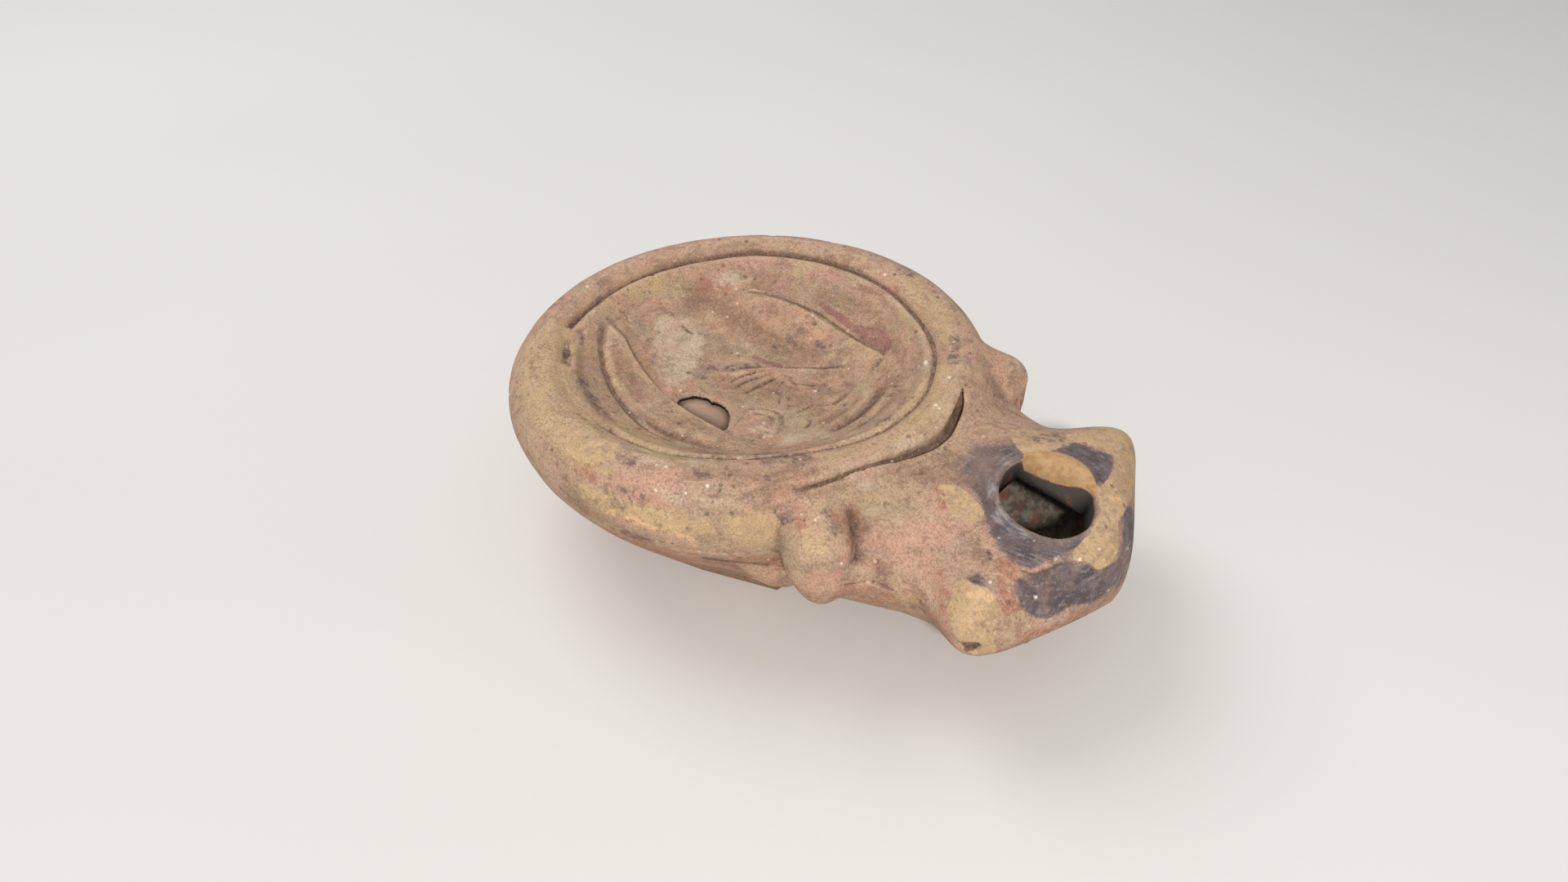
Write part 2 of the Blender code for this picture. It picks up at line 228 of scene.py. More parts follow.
# the deep arc beside the nozzle
ARC_AT = [(-60, 0.930), (-38, 0.928), (-32, 0.918), (-26, 0.906), (-20, 0.910), (-11, 0.926), (-4, 0.942), (1, 0.943),
          (11, 0.914), (21, 0.882), (35, 0.878), (60, 0.880)]


def by_angle(degrees, pairs):
    a, v = zip(*pairs)
    return np.interp(degrees, a, v, period=360.0).astype(np.float32)


def groove_shift(x, y, r):
    """Radius on the turned profile, which brings the ring groove to its place."""
    shift = by_angle(np.degrees(np.arctan2(y, x)), GROOVE_AT) - 0.760
    return r - shift * np.exp(-((r - 0.765) / 0.085) ** 2)


def outer_profile():
    pts = [(r, float(discus_z(r))) for r in np.linspace(0.0, 0.68, 35)]
    pts += [tuple(p) for p in spline([(0.695, 0.110), (0.712, 0.126), (0.727, 0.137), (0.741, 0.138), (0.751, 0.128),
                                      (0.760, 0.119), (0.769, 0.126), (0.779, 0.146), (0.792, 0.160), (0.808, 0.170),
                                      (0.830, 0.179), (0.858, 0.181), (0.886, 0.174)], 5)]
    crest = 1.0 - RIM_TUBE
    pts += [(crest + RIM_TUBE * math.cos(a), RIM_TUBE * math.sin(a)) for a in np.radians(np.linspace(57, 0, 22))]
    for a in np.radians(np.linspace(2.5, 88, 40)):
        pts.append((BASE_RADIUS + (1.0 - BASE_RADIUS) * math.cos(a) ** WALL_EXP_R, -WAIST * math.sin(a) ** WALL_EXP_Z))
    pts += [(BASE_RADIUS - 0.006, -WAIST), (0.588, -WAIST), (0.580, -0.541), (0.572, -0.537), (0.564, -0.541),
            (0.556, -WAIST), (0.0, -WAIST)]
    pts += [(-0.30, -WAIST), (-0.30, DISCUS_CENTRE_Z)]
    return np.array(pts)


def wall_radius(z):
    s = min(1.0, -z / WAIST) ** (1.0 / WALL_EXP_Z)
    return BASE_RADIUS + (1.0 - BASE_RADIUS) * math.sqrt(max(0.0, 1.0 - s * s)) ** WALL_EXP_R


def chamber_profile():
    pts = [(r, float(discus_z(r)) - 0.068) for r in (0.0, 0.2, 0.36, 0.50, 0.62)]
    pts += [(0.72, 0.040), (0.80, 0.072), (0.862, 0.062), (0.905, 0.018)]
    pts += [(wall_radius(z) - 0.086, z) for z in (-0.06, -0.16, -0.26, -0.35)]
    pts += [(0.655, -0.425), (0.575, -0.465), (0.0, -0.465)]
    pts = spline(pts, 5)
    return np.vstack([pts, [(-0.30, -0.465), (-0.30, DISCUS_CENTRE_Z - 0.068)]])


class Turned:
    """Signed distance to a turned form, negative inside, kept as a table over radius and height."""
    STEP = 0.004

    def __init__(self, outline):
        r = np.arange(-0.02, 1.16, self.STEP)
        z = np.arange(-0.72, 0.42, self.STEP)
        self.r0, self.z0 = r[0], z[0]
        rr, zz = np.meshgrid(r, z, indexing="ij")
        self.grid = -area_distance(rr, zz, outline).astype(np.float32)

    def at(self, r, z):
        u = np.clip((r - self.r0) / self.STEP, 0, self.grid.shape[0] - 1.001)
        v = np.clip((z - self.z0) / self.STEP, 0, self.grid.shape[1] - 1.001)
        i, j = u.astype(np.int32), v.astype(np.int32)
        a, b = (u - i).astype(np.float32), (v - j).astype(np.float32)
        g = self.grid
        return (g[i, j] * (1 - a) + g[i + 1, j] * a) * (1 - b) + (g[i, j + 1] * (1 - a) + g[i + 1, j + 1] * a) * b


# ---------------------------------------------------------------- nozzle sections
class Boat:
    """Form between a domed top and a rounded keel, by stations along x; negative inside."""

    def __init__(self, x0, x1, far, near, stations, rule):
        self.x = np.linspace(x0, x1, 700)
        self.x0, self.dx = x0, self.x[1] - self.x[0]
        table = np.asarray(stations, float)
        rows = [np.array([far(v) for v in self.x]), np.array([near(v) for v in self.x])]
        for column in table[:, 1:].T:
            rows.append(self.through(table[:, 0], column, self.x))
        self.rows = [row.astype(np.float32) for row in rows]
        self.slopes = [np.gradient(row, self.dx).astype(np.float32) for row in self.rows]
        self.rule = rule
        self.last = x1 - 0.016

    @staticmethod
    def through(xs, ys, at):
        """Smooth curve through stations without overshoot."""
        step = np.diff(ys) / np.diff(xs)
        slope = np.zeros_like(ys)
        slope[0], slope[-1] = step[0], step[-1]
        for i in range(1, len(ys) - 1):
            if step[i - 1] * step[i] > 0:
                slope[i] = 2.0 / (1.0 / step[i - 1] + 1.0 / step[i])
        i = np.clip(np.searchsorted(xs, at) - 1, 0, len(xs) - 2)
        h = xs[i + 1] - xs[i]
        t = np.clip((at - xs[i]) / h, 0.0, 1.0)
        return ((2 * t ** 3 - 3 * t ** 2 + 1) * ys[i] + (t ** 3 - 2 * t ** 2 + t) * h * slope[i]
                + (3 * t ** 2 - 2 * t ** 3) * ys[i + 1] + (t ** 3 - t ** 2) * h * slope[i + 1])

    def at(self, x, y, z):
        u = np.clip((x - self.x0) / self.dx, 0, len(self.x) - 1.001)
        i = u.astype(np.int32)
        f = (u - i).astype(np.float32)
        mix = lambda row: row[i] * (1 - f) + row[i + 1] * f
        far, near, top, edge, bottom = (mix(row) for row in self.rows)
        dfar, dnear, dtop, dedge, dbottom = (mix(row) for row in self.slopes)
        up = y > 0
        h, dh = np.where(up, far, near), np.where(up, dfar, dnear)
        s = np.abs(y) / h
        et, eb, pt, pb = self.rule
        above = z > edge
        span = np.where(above, top - edge, edge - bottom)
        dspan = np.where(above, dtop - dedge, dedge - dbottom)
        q = np.abs(z - edge) / span
        power = np.where(above, 1.0 / et, 1.0 / eb)
        pw = np.where(above, pt, pb)
        q = np.minimum(q, 6.0)
        s = np.minimum(s, 6.0)
        g = q ** power + s ** pw - 1.0
        gz = power * q ** (power - 1.0) / span
        gy = pw * s ** (pw - 1.0) / h
        sign = np.where(above, -1.0, 1.0)
        gx = -pw * s ** pw * dh / h + power * q ** (power - 1.0) * (sign * dedge - q * dspan) / span
        d = g / np.sqrt(gx * gx + gy * gy + gz * gz + 1e-4)
        d = np.clip(d, -0.35, 0.8)
        # beyond the ends
        d = np.maximum(d, np.maximum(self.x0 - x, 0.0) * 1.0 + np.where(x < self.x0, 0.02, -1.0))
        return np.maximum(d, x - self.last)


NECK_HALF, NECK_X = {1: 0.541, -1: 0.524}, {1: 1.128, -1: 1.193}
WING_HALF, WING_X = {1: 0.674, -1: 0.631}, {1: 1.354, -1: 1.427}
FRONT_SLOPE, CORNER_SOFT = {1: 0.484, -1: 0.459}, {1: 0.146, -1: 0.120}
ROOT_HALF, APEX_X, APEX_BLUNT = 0.640, 1.760, 0.120


def half_width(x, side):
    flank = (NECK_HALF[side] + (WING_HALF[side] - NECK_HALF[side]) * smooth(NECK_X[side], WING_X[side], x)
             + (ROOT_HALF - NECK_HALF[side]) * (1.0 - smooth(0.80, NECK_X[side], x)))
    reach = (APEX_X - x) / FRONT_SLOPE[side]
    front = math.sqrt(max(0.0, reach * reach - APEX_BLUNT ** 2))
    soft = CORNER_SOFT[side]
    h = min(1.0, max(0.0, 0.5 + 0.5 * (front - flank) / soft))
    return max(0.012, float(front * (1.0 - h) + flank * h - soft * h * (1.0 - h)))


NOZZLE = Boat(0.72, 1.712, lambda x: half_width(x, 1), lambda x: half_width(x, -1), [
    (0.72, 0.070, -0.157, -0.400),
    (0.90, 0.112, -0.157, -0.455),
    (1.147, 0.108, -0.157, -0.446),
    (1.416, 0.096, -0.080, -0.380),
    (1.590, 0.084, -0.150, -0.300),
    (1.655, 0.030, -0.163, -0.265),
    (1.712, -0.075, -0.163, -0.232),
], (0.60, 0.50, 2.4, 2.5))

CHANNEL_STATIONS = [
    (0.50, 0.340, -0.030, -0.200, -0.400),
    (0.90, 0.400, 0.010, -0.150, -0.365),
    (1.147, 0.300, 0.012, -0.140, -0.355),
    (1.34, 0.270, -0.006, -0.120, -0.300),
    (1.47, 0.235, -0.022, -0.130, -0.250),
    (1.55, 0.150, -0.040, -0.140, -0.218),
    (1.59, 0.060, -0.075, -0.140, -0.195),
]
channel_width = lambda x: float(Boat.through(np.array([row[0] for row in CHANNEL_STATIONS]),
                                             np.array([row[1] for row in CHANNEL_STATIONS]), np.array([x]))[0])
CHANNEL = Boat(0.50, 1.605, channel_width, channel_width,
               [(row[0], *row[2:]) for row in CHANNEL_STATIONS], (0.60, 0.50, 2.0, 2.0))

OUTER = Turned(outer_profile())
CHAMBER = Turned(chamber_profile())


# ---------------------------------------------------------------- relief of the discus
plan = Plan()
X, Y = plan.x, plan.y
radius = groove_shift(X, Y, np.hypot(X, Y))
turn = np.arctan2(Y, X)

# crescent along the near left edge: crisp inner edge, fine groove outside
inside = 0.766 - np.hypot(X + 0.020, Y - 0.210)
beyond = np.hypot(X - 0.156, Y - 1.093) - 1.471
ragged = 0.004 * noise.sum(X, Y, X * 0, 16.0, 2)
lune = (smooth(-0.008, 0.006, beyond + ragged) * smooth(-0.004, 0.050, inside)
        * (1.0 - smooth(0.05, 0.42, X)) * (0.050 - 0.12 * np.clip(beyond, 0.0, 0.3)))
lune = lune * (1.0 - smooth(-0.230, -0.175, Y))
plan.h += lune
plan.stroke([(-0.636, -0.235), (-0.612, -0.270), (-0.578, -0.310), (-0.422, -0.434), (-0.260, -0.516), (-0.066, -0.581), (0.082, -0.588),
             (0.226, -0.556), (0.354, -0.493), (0.420, -0.440)], 0.008, -0.012, 0.30, 0.002, 0.002)
plan.h -= 0.012 * smooth(-0.10, -0.005, beyond) * (1.0 - smooth(-0.004, 0.006, beyond)) * (1.0 - smooth(0.10, 0.40, X)) * (inside > 0) * (1.0 - smooth(-0.240, -0.185, Y))

# long leaf along the far edge: crisp outer edge, a hollow beyond it and a hollow on its inner side
LEAF_EDGE = spline([(-0.520, 0.360), (-0.388, 0.432), (-0.294, 0.464), (-0.151, 0.484), (-0.015, 0.478), (0.148, 0.447),
                    (0.278, 0.414), (0.381, 0.400), (0.470, 0.392)], 6)
outer, side, _ = line_distance(X, Y, LEAF_EDGE)
outer = -outer * side + 0.002 * noise.sum(X, Y, X * 0 + 5, 14.0, 2)
ends = smooth(-0.44, -0.34, X) * (1.0 - smooth(0.355, 0.41, X))
plan.h += ends * (0.046 * smooth(-0.007, 0.007, outer) * (1.0 - smooth(0.03, 0.20, outer))
                  - 0.016 * smooth(0.12, 0.20, outer) * (1.0 - smooth(0.24, 0.34, outer))
                  - 0.022 * (1.0 - smooth(0.0, 0.10, -outer)) * (1.0 - smooth(-0.006, 0.006, outer)))

# middle ridge, which fans out into fine veins
plan.step([(-0.16, -0.01), (-0.10, 0.06), (-0.04, 0.12), (0.02, 0.18), (0.09, 0.225), (0.17, 0.250), (0.26, 0.268),
           (0.34, 0.290)][::-1], 0.014, 0.010, 0.10, 0.15)
plan.stroke([(-0.16, 0.00), (-0.09, 0.08), (-0.02, 0.145), (0.05, 0.205), (0.14, 0.240), (0.24, 0.262), (0.33, 0.285)],
            0.0075, 0.009, 0.2, -0.006, 0.002)
for points, depth in (
        ([(0.000, 0.140), (-0.050, 0.070), (-0.085, 0.000), (-0.100, -0.060)], -0.007),
        ([(0.020, 0.150), (-0.015, 0.070), (-0.045, 0.000), (-0.050, -0.080)], -0.007),
        ([(0.045, 0.130), (0.030, 0.060), (0.015, -0.010), (0.010, -0.070)], -0.009),
        ([(0.080, 0.130), (0.090, 0.070), (0.085, 0.000)], -0.005),
        ([(-0.030, 0.100), (-0.075, 0.030), (-0.120, -0.030)], -0.005),
        ([(0.060, 0.170), (0.130, 0.130), (0.190, 0.100), (0.250, 0.090)], -0.005),
        ([(0.110, 0.120), (0.180, 0.155), (0.270, 0.200)], -0.006),
        ([(0.090, 0.060), (0.140, 0.020), (0.180, -0.050)], -0.005),
        ([(0.150, 0.050), (0.210, 0.000), (0.240, -0.060)], -0.006),
        ([(0.300, 0.050), (0.290, -0.010), (0.270, -0.070)], -0.007)):
    plan.stroke(points, 0.0070, 1.30 * depth, 0.25, 0.35 * abs(depth), 0.002)

# worn rosette beside the filling hole
plan.stroke([(0.130, -0.215), (0.115, -0.160), (0.155, -0.115), (0.215, -0.110), (0.265, -0.155), (0.290, -0.220)],
            0.009, 0.009, 0.2, -0.004, 0.003)
plan.stroke([(0.165, -0.190), (0.185, -0.150), (0.225, -0.160), (0.240, -0.200)], 0.008, 0.003, 0.3, -0.001, 0.003)
plan.h += 0.007 * np.exp(-(((X - 0.20) / 0.085) ** 2 + ((Y + 0.185) / 0.060) ** 2))
plan.stroke([(0.170, -0.255), (0.250, -0.262), (0.350, -0.258)], 0.013, 0.006, 0.2, -0.002, 0.003)
plan.stroke([(0.060, -0.330), (0.150, -0.366), (0.240, -0.374), (0.330, -0.360)], 0.010, -0.005, 0.3)

# slanting hollows on the right of the field
plan.stroke([(0.375, 0.190), (0.380, 0.120), (0.365, 0.050)], 0.018, -0.014, 0.3, 0.003)
plan.stroke([(0.490, 0.260), (0.535, 0.150), (0.545, 0.030), (0.530, -0.080), (0.500, -0.170)], 0.026, -0.020, 0.25, 0.006)
plan.stroke([(0.330, -0.030), (0.380, -0.090), (0.400, -0.160)], 0.014, -0.008, 0.3, 0.003)
plan.stroke([(0.600, 0.190), (0.625, 0.060), (0.610, -0.080), (0.570, -0.200)], 0.022, -0.008, 0.3, 0.003)
# shallow folds below the leaf
plan.stroke([(-0.36, 0.300), (-0.20, 0.330), (-0.02, 0.330), (0.14, 0.310)], 0.022, -0.008, 0.3, 0.003)
plan.stroke([(-0.30, 0.400), (-0.14, 0.435), (0.04, 0.440), (0.20, 0.420)], 0.016, -0.005, 0.3, 0.002)
plan.stroke([(-0.50, 0.100), (-0.46, 0.085), (-0.40, 0.100)], 0.010, -0.008, 0.3, 0.002)

# ring groove: worn through in places, and unevenly deep
ring = 0.006 * noise.at(turn * 5.0, turn * 0, radius * 0 + 2.0)
left = smooth(math.radians(-156), math.radians(-150), turn) * (1.0 - smooth(math.radians(-112), math.radians(-92), turn))
spot_left = np.exp(-((turn - math.radians(-138)) / 0.035) ** 2)
worn = (0.95 * left * (1.0 - 0.5 * spot_left)
        + 0.80 * smooth(math.radians(-112), math.radians(-92), turn) * (1.0 - smooth(math.radians(-26), math.radians(-8), turn))
        + 0.62 * smooth(math.radians(-26), math.radians(-8), turn) * (1.0 - smooth(math.radians(44), math.radians(74), turn))
         + 0.40 * smooth(math.radians(62), math.radians(76), turn) * (1.0 - smooth(math.radians(88), math.radians(100), turn)))
worn = np.clip(worn, 0, 1)
plan.h += worn * 0.030 * np.exp(-((radius - 0.763) / 0.0135) ** 2)
thin = (1.0 - worn) * 0.012 * np.exp(-((radius - 0.762 - ring) / 0.0085) ** 2)
thin += worn * (1.0 - left) * 0.007 * np.exp(-((radius - 0.762 - 0.5 * ring) / 0.0060) ** 2)
plan.h -= thin
# painted shade along the ring groove where it is not worn through
ring_groove_shade = ((1.0 - worn) * np.exp(-((radius - 0.769 - ring) / 0.0155) ** 2)).astype(np.float32)
# lower left part of the shoulder: a soft second hollow inside the rim
plan.stroke([(-0.655, -0.400), (-0.570, -0.510), (-0.470, -0.590)], 0.020, -0.012, 0.3, 0.002)
plan.stroke([(-0.430, -0.590), (-0.300, -0.660), (-0.150, -0.710), (0.000, -0.735)], 0.014, -0.003, 0.2, 0.001)
# the collar between the ring groove and the nozzle is a little hollow
plan.h -= 0.006 * np.exp(-((radius - 0.835) / 0.022) ** 2) * (1.0 - smooth(0.45, 0.75, np.abs(turn + 0.12)))

# filling hole: a broken opening, with a sagging edge on its left
FILL = spline([(-0.159, -0.295), (-0.183, -0.253), (-0.175, -0.221), (-0.160, -0.187), (-0.121, -0.164), (-0.071, -0.170),
               (-0.025, -0.168), (0.027, -0.187), (0.071, -0.224), (0.098, -0.260), (0.118, -0.287), (0.122, -0.318),
               (0.100, -0.346), (0.030, -0.362), (-0.060, -0.358), (-0.125, -0.340)], 5, True)
fill_grid = -area_distance(X, Y, FILL) + 0.0035 * noise.sum(X, Y, X * 0 + 8, 30.0, 3)
plan.h -= (0.013 * (1.0 - smooth(0.0, 0.085, fill_grid)) * (1.0 - smooth(-0.13, -0.02, X)) * (1.0 - smooth(-0.03, -0.004, beyond))
           + 0.008 * (1.0 - smooth(0.0, 0.035, fill_grid)) * (1.0 - smooth(-0.03, -0.004, beyond)))

# small dents, scratches and loss all over
plan.h += 0.0032 * noise.sum(X, Y, X * 0 + 1, 5.0, 3)
pits = rng.random((150, 5))
for a, b, c, d, e in pits:
    px_, py_ = -1.0 + 2.7 * a, -0.95 + 1.9 * b
    size = 0.006 + 0.014 * c * c
    w = plan.window(np.array([[px_, py_]]), 3.5 * size)
    q = np.hypot((X[w] - px_) * (0.7 + 0.6 * e), Y[w] - py_) / size
    plan.h[w] -= (0.003 + 0.006 * d) * np.exp(-q * q * q)
for a, b, c, d, e in rng.random((46, 5)):
    px_, py_, way, length = -0.9 + 2.4 * a, -0.8 + 1.6 * b, math.pi * c, 0.03 + 0.09 * d
    plan.stroke([(px_, py_), (px_ + 0.5 * length * math.cos(way), py_ + 0.5 * length * math.sin(way)),
                 (px_ + length * math.cos(way + 0.3), py_ + length * math.sin(way + 0.3))],
                0.0040 + 0.002 * e, -0.0012 - 0.0014 * e, 0.4)

# ---------------------------------------------------------------- the whole form
WICK_X, WICK_Y, WICK_LONG, WICK_SHORT, WICK_TURN = 1.386, -0.022, 0.205, 0.168, math.radians(129.7)
KNOBS = ((38.0, 0.990, 0.165, 0.0, 1.055, -0.020), (-36.7, 1.046, 0.132, 0.30, 1.082, 0.006))
KNOB_MID, KNOB_HALF = -0.092, 0.163


def wick_distance(x, y):
    dx, dy = x - WICK_X, y - WICK_Y
    c, s = math.cos(WICK_TURN), math.sin(WICK_TURN)
    u, v = dx * c + dy * s, -dx * s + dy * c
    worn = 1.0 + 0.012 * np.cos(3.0 * np.arctan2(v, u) + 0.8)
    a, b = WICK_LONG * worn, WICK_SHORT * worn
    q = np.sqrt((u / a) ** 2 + (v / b) ** 2) + 1e-6
    return q * (q - 1.0) / np.sqrt((u / a ** 2) ** 2 + (v / b ** 2) ** 2 + 1e-6), np.arctan2(dy, dx)


def solid(x, y, z):
    """Clay without its hollows."""
    r = np.hypot(x, y)
    top = smooth(-0.34, -0.20, z)
    lift = plan.read(x, y) * top
    zz = z - lift
    # the walls are slightly uneven, as a hand-finished cast is
    uneven = 0.0045 * noise.sum(x, y, z, 3.1, 2)
    f = OUTER.at(groove_shift(x, y, r), zz) - uneven
    # the wall is fuller low down beside the nozzle
    bulge = np.exp(-((np.degrees(np.arctan2(y, x)) + 42.5) / 10.5) ** 2) * smooth(-0.16, -0.34, z) * (r > 0.4)
    f = f - 0.080 * bulge
    # seam of the two moulds, rubbed down, a little below the shoulder
    angle = np.arctan2(y, x)
    seam = -0.106 + 0.010 * np.sin(2.0 * angle + 0.6) + 0.005 * np.sin(7.0 * angle)
    at_side = (r > 0.85) * smooth(0.98, 0.90, np.abs(f) + 0.95)
    f = f - at_side * (0.0055 * np.exp(-((z - seam) / 0.009) ** 2) - 0.0045 * np.exp(-((z - seam - 0.022) / 0.010) ** 2)
                       - 0.0030 * np.exp(-((z - seam + 0.024) / 0.011) ** 2))
    n = NOZZLE.at(x, y, zz) - 0.6 * uneven
    low = smooth(-0.12, -0.30, z)
    f = smin(f, n, 0.050 + 0.04 * low)
    for degrees, distance, size, narrowing, tip, tip_z in KNOBS:
        a = math.radians(degrees)
        kx, ky = distance * math.cos(a), distance * math.sin(a)
        lower = narrowing * smooth(-0.04, -0.24, z)
        q = np.hypot(x - kx * (1.0 + 0.10 * lower), y - ky * (1.0 + 0.10 * lower)) / (size * (1.0 - lower))
        w = np.abs(z - KNOB_MID) / KNOB_HALF
        g = q ** 2 + np.minimum(w, 4.0) ** 2.4 - 1.0
        slope = np.sqrt((2.0 * q / size) ** 2 + (2.4 * w ** 1.4 / KNOB_HALF) ** 2 + 1e-3)
        k = np.clip(g / slope, -0.2, 0.6)
        side = 1.0 if degrees > 0 else -1.0
        # fine crease where the upper mould's lobe ends, and the seam under it
        outerpart = smooth(0.02, 0.09, r - 1.0) * (np.hypot(x - kx, y - ky) < 0.3)
        tilt = z + 0.045 - 0.25 * (np.hypot(x, y) - 1.14)
        k = k + outerpart * (0.005 * np.exp(-(tilt / 0.018) ** 2) - 0.004 * np.exp(-((tilt - 0.040) / 0.026) ** 2))
        f = smin(f, k, 0.055 + 0.03 * low)
        c, s = math.cos(a), math.sin(a)
        p0, p1 = np.array([0.900 * c, 0.900 * s, 0.038]), np.array([tip * c, tip * s, tip_z])
        d = p1 - p0
        t = np.clip(((x - p0[0]) * d[0] + (y - p0[1]) * d[1] + (z - p0[2]) * d[2]) / (d @ d), 0.0, 1.0)
        tongue = np.sqrt((x - p0[0] - t * d[0]) ** 2 + (y - p0[1] - t * d[1]) ** 2 + (1.15 * (z - p0[2] - t * d[2])) ** 2) - 0.116 + 0.016 * t
        f = smin(f, tongue, 0.035)
    return f


def carve(f, x, y, z):
    r = np.hypot(x, y)
    a = np.arctan2(y, x)
    # deep arc between shoulder and nozzle
    degrees = np.degrees(a)
    mid = by_angle(degrees, ARC_AT)
    strong = smooth(-24.0, -6.0, degrees) * (1.0 - smooth(11.0, 17.0, degrees))
    weak = smooth(-46.0, -40.0, degrees) * (1.0 - smooth(33.0, 38.0, degrees))
    size = 0.006 * weak + 0.012 * strong
    level = 0.150 - 0.022 * strong
    tube = (np.hypot(r - mid, 0.60 * (z - level)) - size + 0.05 * (1.0 - weak))
    f = smax(f, -tube, 0.014)
    # small pit in the near wing
    pit = np.sqrt(((x - 1.448) / 0.043) ** 2 + ((y + 0.612) / 0.050) ** 2 + ((z + 0.142) / 0.041) ** 2)
    f = smax(f, -(pit - 1.0) * 0.043, 0.006)
    return f


def hollows(f, x, y, z):
    r = np.hypot(x, y)
    inner = smin(CHAMBER.at(r, z), CHANNEL.at(x, y, z), 0.050)
    inner = inner + 0.004 * noise.sum(x, y, z, 6.0, 2)
    f = np.maximum(f, -inner)
    # wick hole, whose far edge is chipped to a slope
    d, way = wick_distance(x, y)
    chip = smooth(math.radians(36), math.radians(66), way) * (1.0 - smooth(math.radians(122), math.radians(152), way))
    lip = smooth(math.radians(-62), math.radians(-30), way) * (1.0 - smooth(math.radians(30), math.radians(50), way))
    slant = (0.074 * chip + 0.022 * lip) * (1.0 + 0.25 * noise.at(x * 14, y * 14, z * 14))
    depth = np.clip((0.090 - z) / np.where(chip > 0.02, 0.080, 0.060), 0.0, 1.0)
    hole = np.maximum(d + slant * depth, -0.13 - z)
    f = smax(f, -hole, 0.012)
    # filling hole, wider below where the clay broke away
    top = plan.read(x, y) + discus_z(np.minimum(r, 0.7)).astype(np.float32)
    under = np.clip(top - 0.022 - z, 0.0, 0.055)
    broken = plan.read(x, y, fill_grid) - 1.5 * under
    hole = np.maximum(broken / np.where(under > 0, 1.6, 1.0), -0.30 - z)
    f = smax(f, -hole, 0.006)
    return f


def field(x, y, z):
    f = carve(solid(x, y, z), x, y, z)
    f = hollows(f, x, y, z)
    return np.maximum(f, -WAIST - z)


def sample():
    """The form on a grid, slab by slab."""
    lo, hi = (-1.05, -1.05, -WAIST - 3.0 * STEP), (1.76, 1.05, 0.26)
    axes = [np.arange(a, b + STEP, STEP, dtype=np.float32) for a, b in zip(lo, hi)]
    shape = tuple(len(a) for a in axes)
    out = np.empty(shape, np.float32)
    yy, zz = np.meshgrid(axes[1], axes[2], indexing="ij")
    for i0 in range(0, shape[0], 12):
        xs = axes[0][i0:i0 + 12]
        x = np.broadcast_to(xs[:, None, None], (len(xs), *yy.shape)).astype(np.float32)
        y = np.broadcast_to(yy, x.shape)
        z = np.broadcast_to(zz, x.shape)
        out[i0:i0 + len(xs)] = field(x.ravel(), y.ravel(), z.ravel()).reshape(x.shape)
    return axes, out


def surface_nets(axes, f):
    """One vertex in each cell that the surface crosses, one quad across each crossed edge."""
    inside = f < 0
    n = np.array(f.shape) - 1
    count = np.zeros(tuple(n), np.uint8)
    for i in (0, 1):
        for j in (0, 1):
            for k in (0, 1):
                count += inside[i:n[0] + i, j:n[1] + j, k:n[2] + k]
    cells = np.argwhere((count > 0) & (count < 8))
    number = np.full(tuple(n), -1, np.int64)
    number[tuple(cells.T)] = np.arange(len(cells))
    total = np.zeros((len(cells), 3))
    hits = np.zeros(len(cells))
    corners = [(i, j, k) for i in (0, 1) for j in (0, 1) for k in (0, 1)]
    value = {c: f[cells[:, 0] + c[0], cells[:, 1] + c[1], cells[:, 2] + c[2]] for c in corners}
    for a in corners:
        for axis in range(3):
            if a[axis]:
                continue
            b = tuple(1 if m == axis else a[m] for m in range(3))
            va, vb = value[a], value[b]
            cross = (va < 0) != (vb < 0)
            t = np.where(cross, va / np.where(cross, va - vb, 1.0), 0.0)
            point = np.tile(np.array(a, float), (len(cells), 1))
            point[:, axis] += t
            total += point * cross[:, None]
            hits += cross
    points = (cells + total / hits[:, None]) * STEP + np.array([a[0] for a in axes])
    quads = []
    for axis in range(3):
        lo = [slice(None)] * 3
        hi = [slice(None)] * 3
        lo[axis], hi[axis] = slice(0, -1), slice(1, None)
        change = inside[tuple(lo)] != inside[tuple(hi)]
        at = np.argwhere(change)
        b, c = (axis + 1) % 3, (axis + 2) % 3
        ok = (at[:, b] > 0) & (at[:, c] > 0) & (at[:, b] < n[b]) & (at[:, c] < n[c])
        at = at[ok]
        starts_inside = inside[tuple(at.T)]
        ring = []
        for db, dc in ((-1, -1), (0, -1), (0, 0), (-1, 0)):
            q = at.copy()
            q[:, b] += db
            q[:, c] += dc
            ring.append(number[tuple(q.T)])
        ring = np.stack(ring, 1)
        ring[~starts_inside] = ring[~starts_inside][:, ::-1]
        quads.append(ring)
    quads = np.concatenate(quads)
    return points, quads[(quads >= 0).all(1)]


def settle(points, rounds=3):
    """Moves vertices onto the true surface."""
    p = points.astype(np.float32)
    e = np.float32(0.0025)
    for _ in range(rounds):
        v = field(p[:, 0], p[:, 1], p[:, 2])
        g = np.empty_like(p)
        for axis in range(3):
            d = np.zeros(3, np.float32)
            d[axis] = e
            a, b = p + d, p - d
            g[:, axis] = (field(a[:, 0], a[:, 1], a[:, 2]) - field(b[:, 0], b[:, 1], b[:, 2])) / (2 * e)
        length = (g * g).sum(1) + 0.05
        move = -(v / length)[:, None] * g
        size = np.linalg.norm(move, axis=1, keepdims=True)
        move *= np.minimum(1.0, 0.6 * STEP / np.maximum(size, 1e-9))
        p = p + move
    p[:, 2] = np.maximum(p[:, 2], -WAIST)
    return p


def mesh_from(points, quads, name):
    mesh = bpy.data.meshes.new(name)
    mesh.vertices.add(len(points))
    mesh.vertices.foreach_set("co", points.astype(np.float32).ravel())
    mesh.loops.add(quads.size)
    mesh.loops.foreach_set("vertex_index", quads.astype(np.int32).ravel())
    mesh.polygons.add(len(quads))
    mesh.polygons.foreach_set("loop_start", np.arange(0, quads.size, quads.shape[1], dtype=np.int32))
    mesh.update(calc_edges=True)
    mesh.validate()
    return mesh


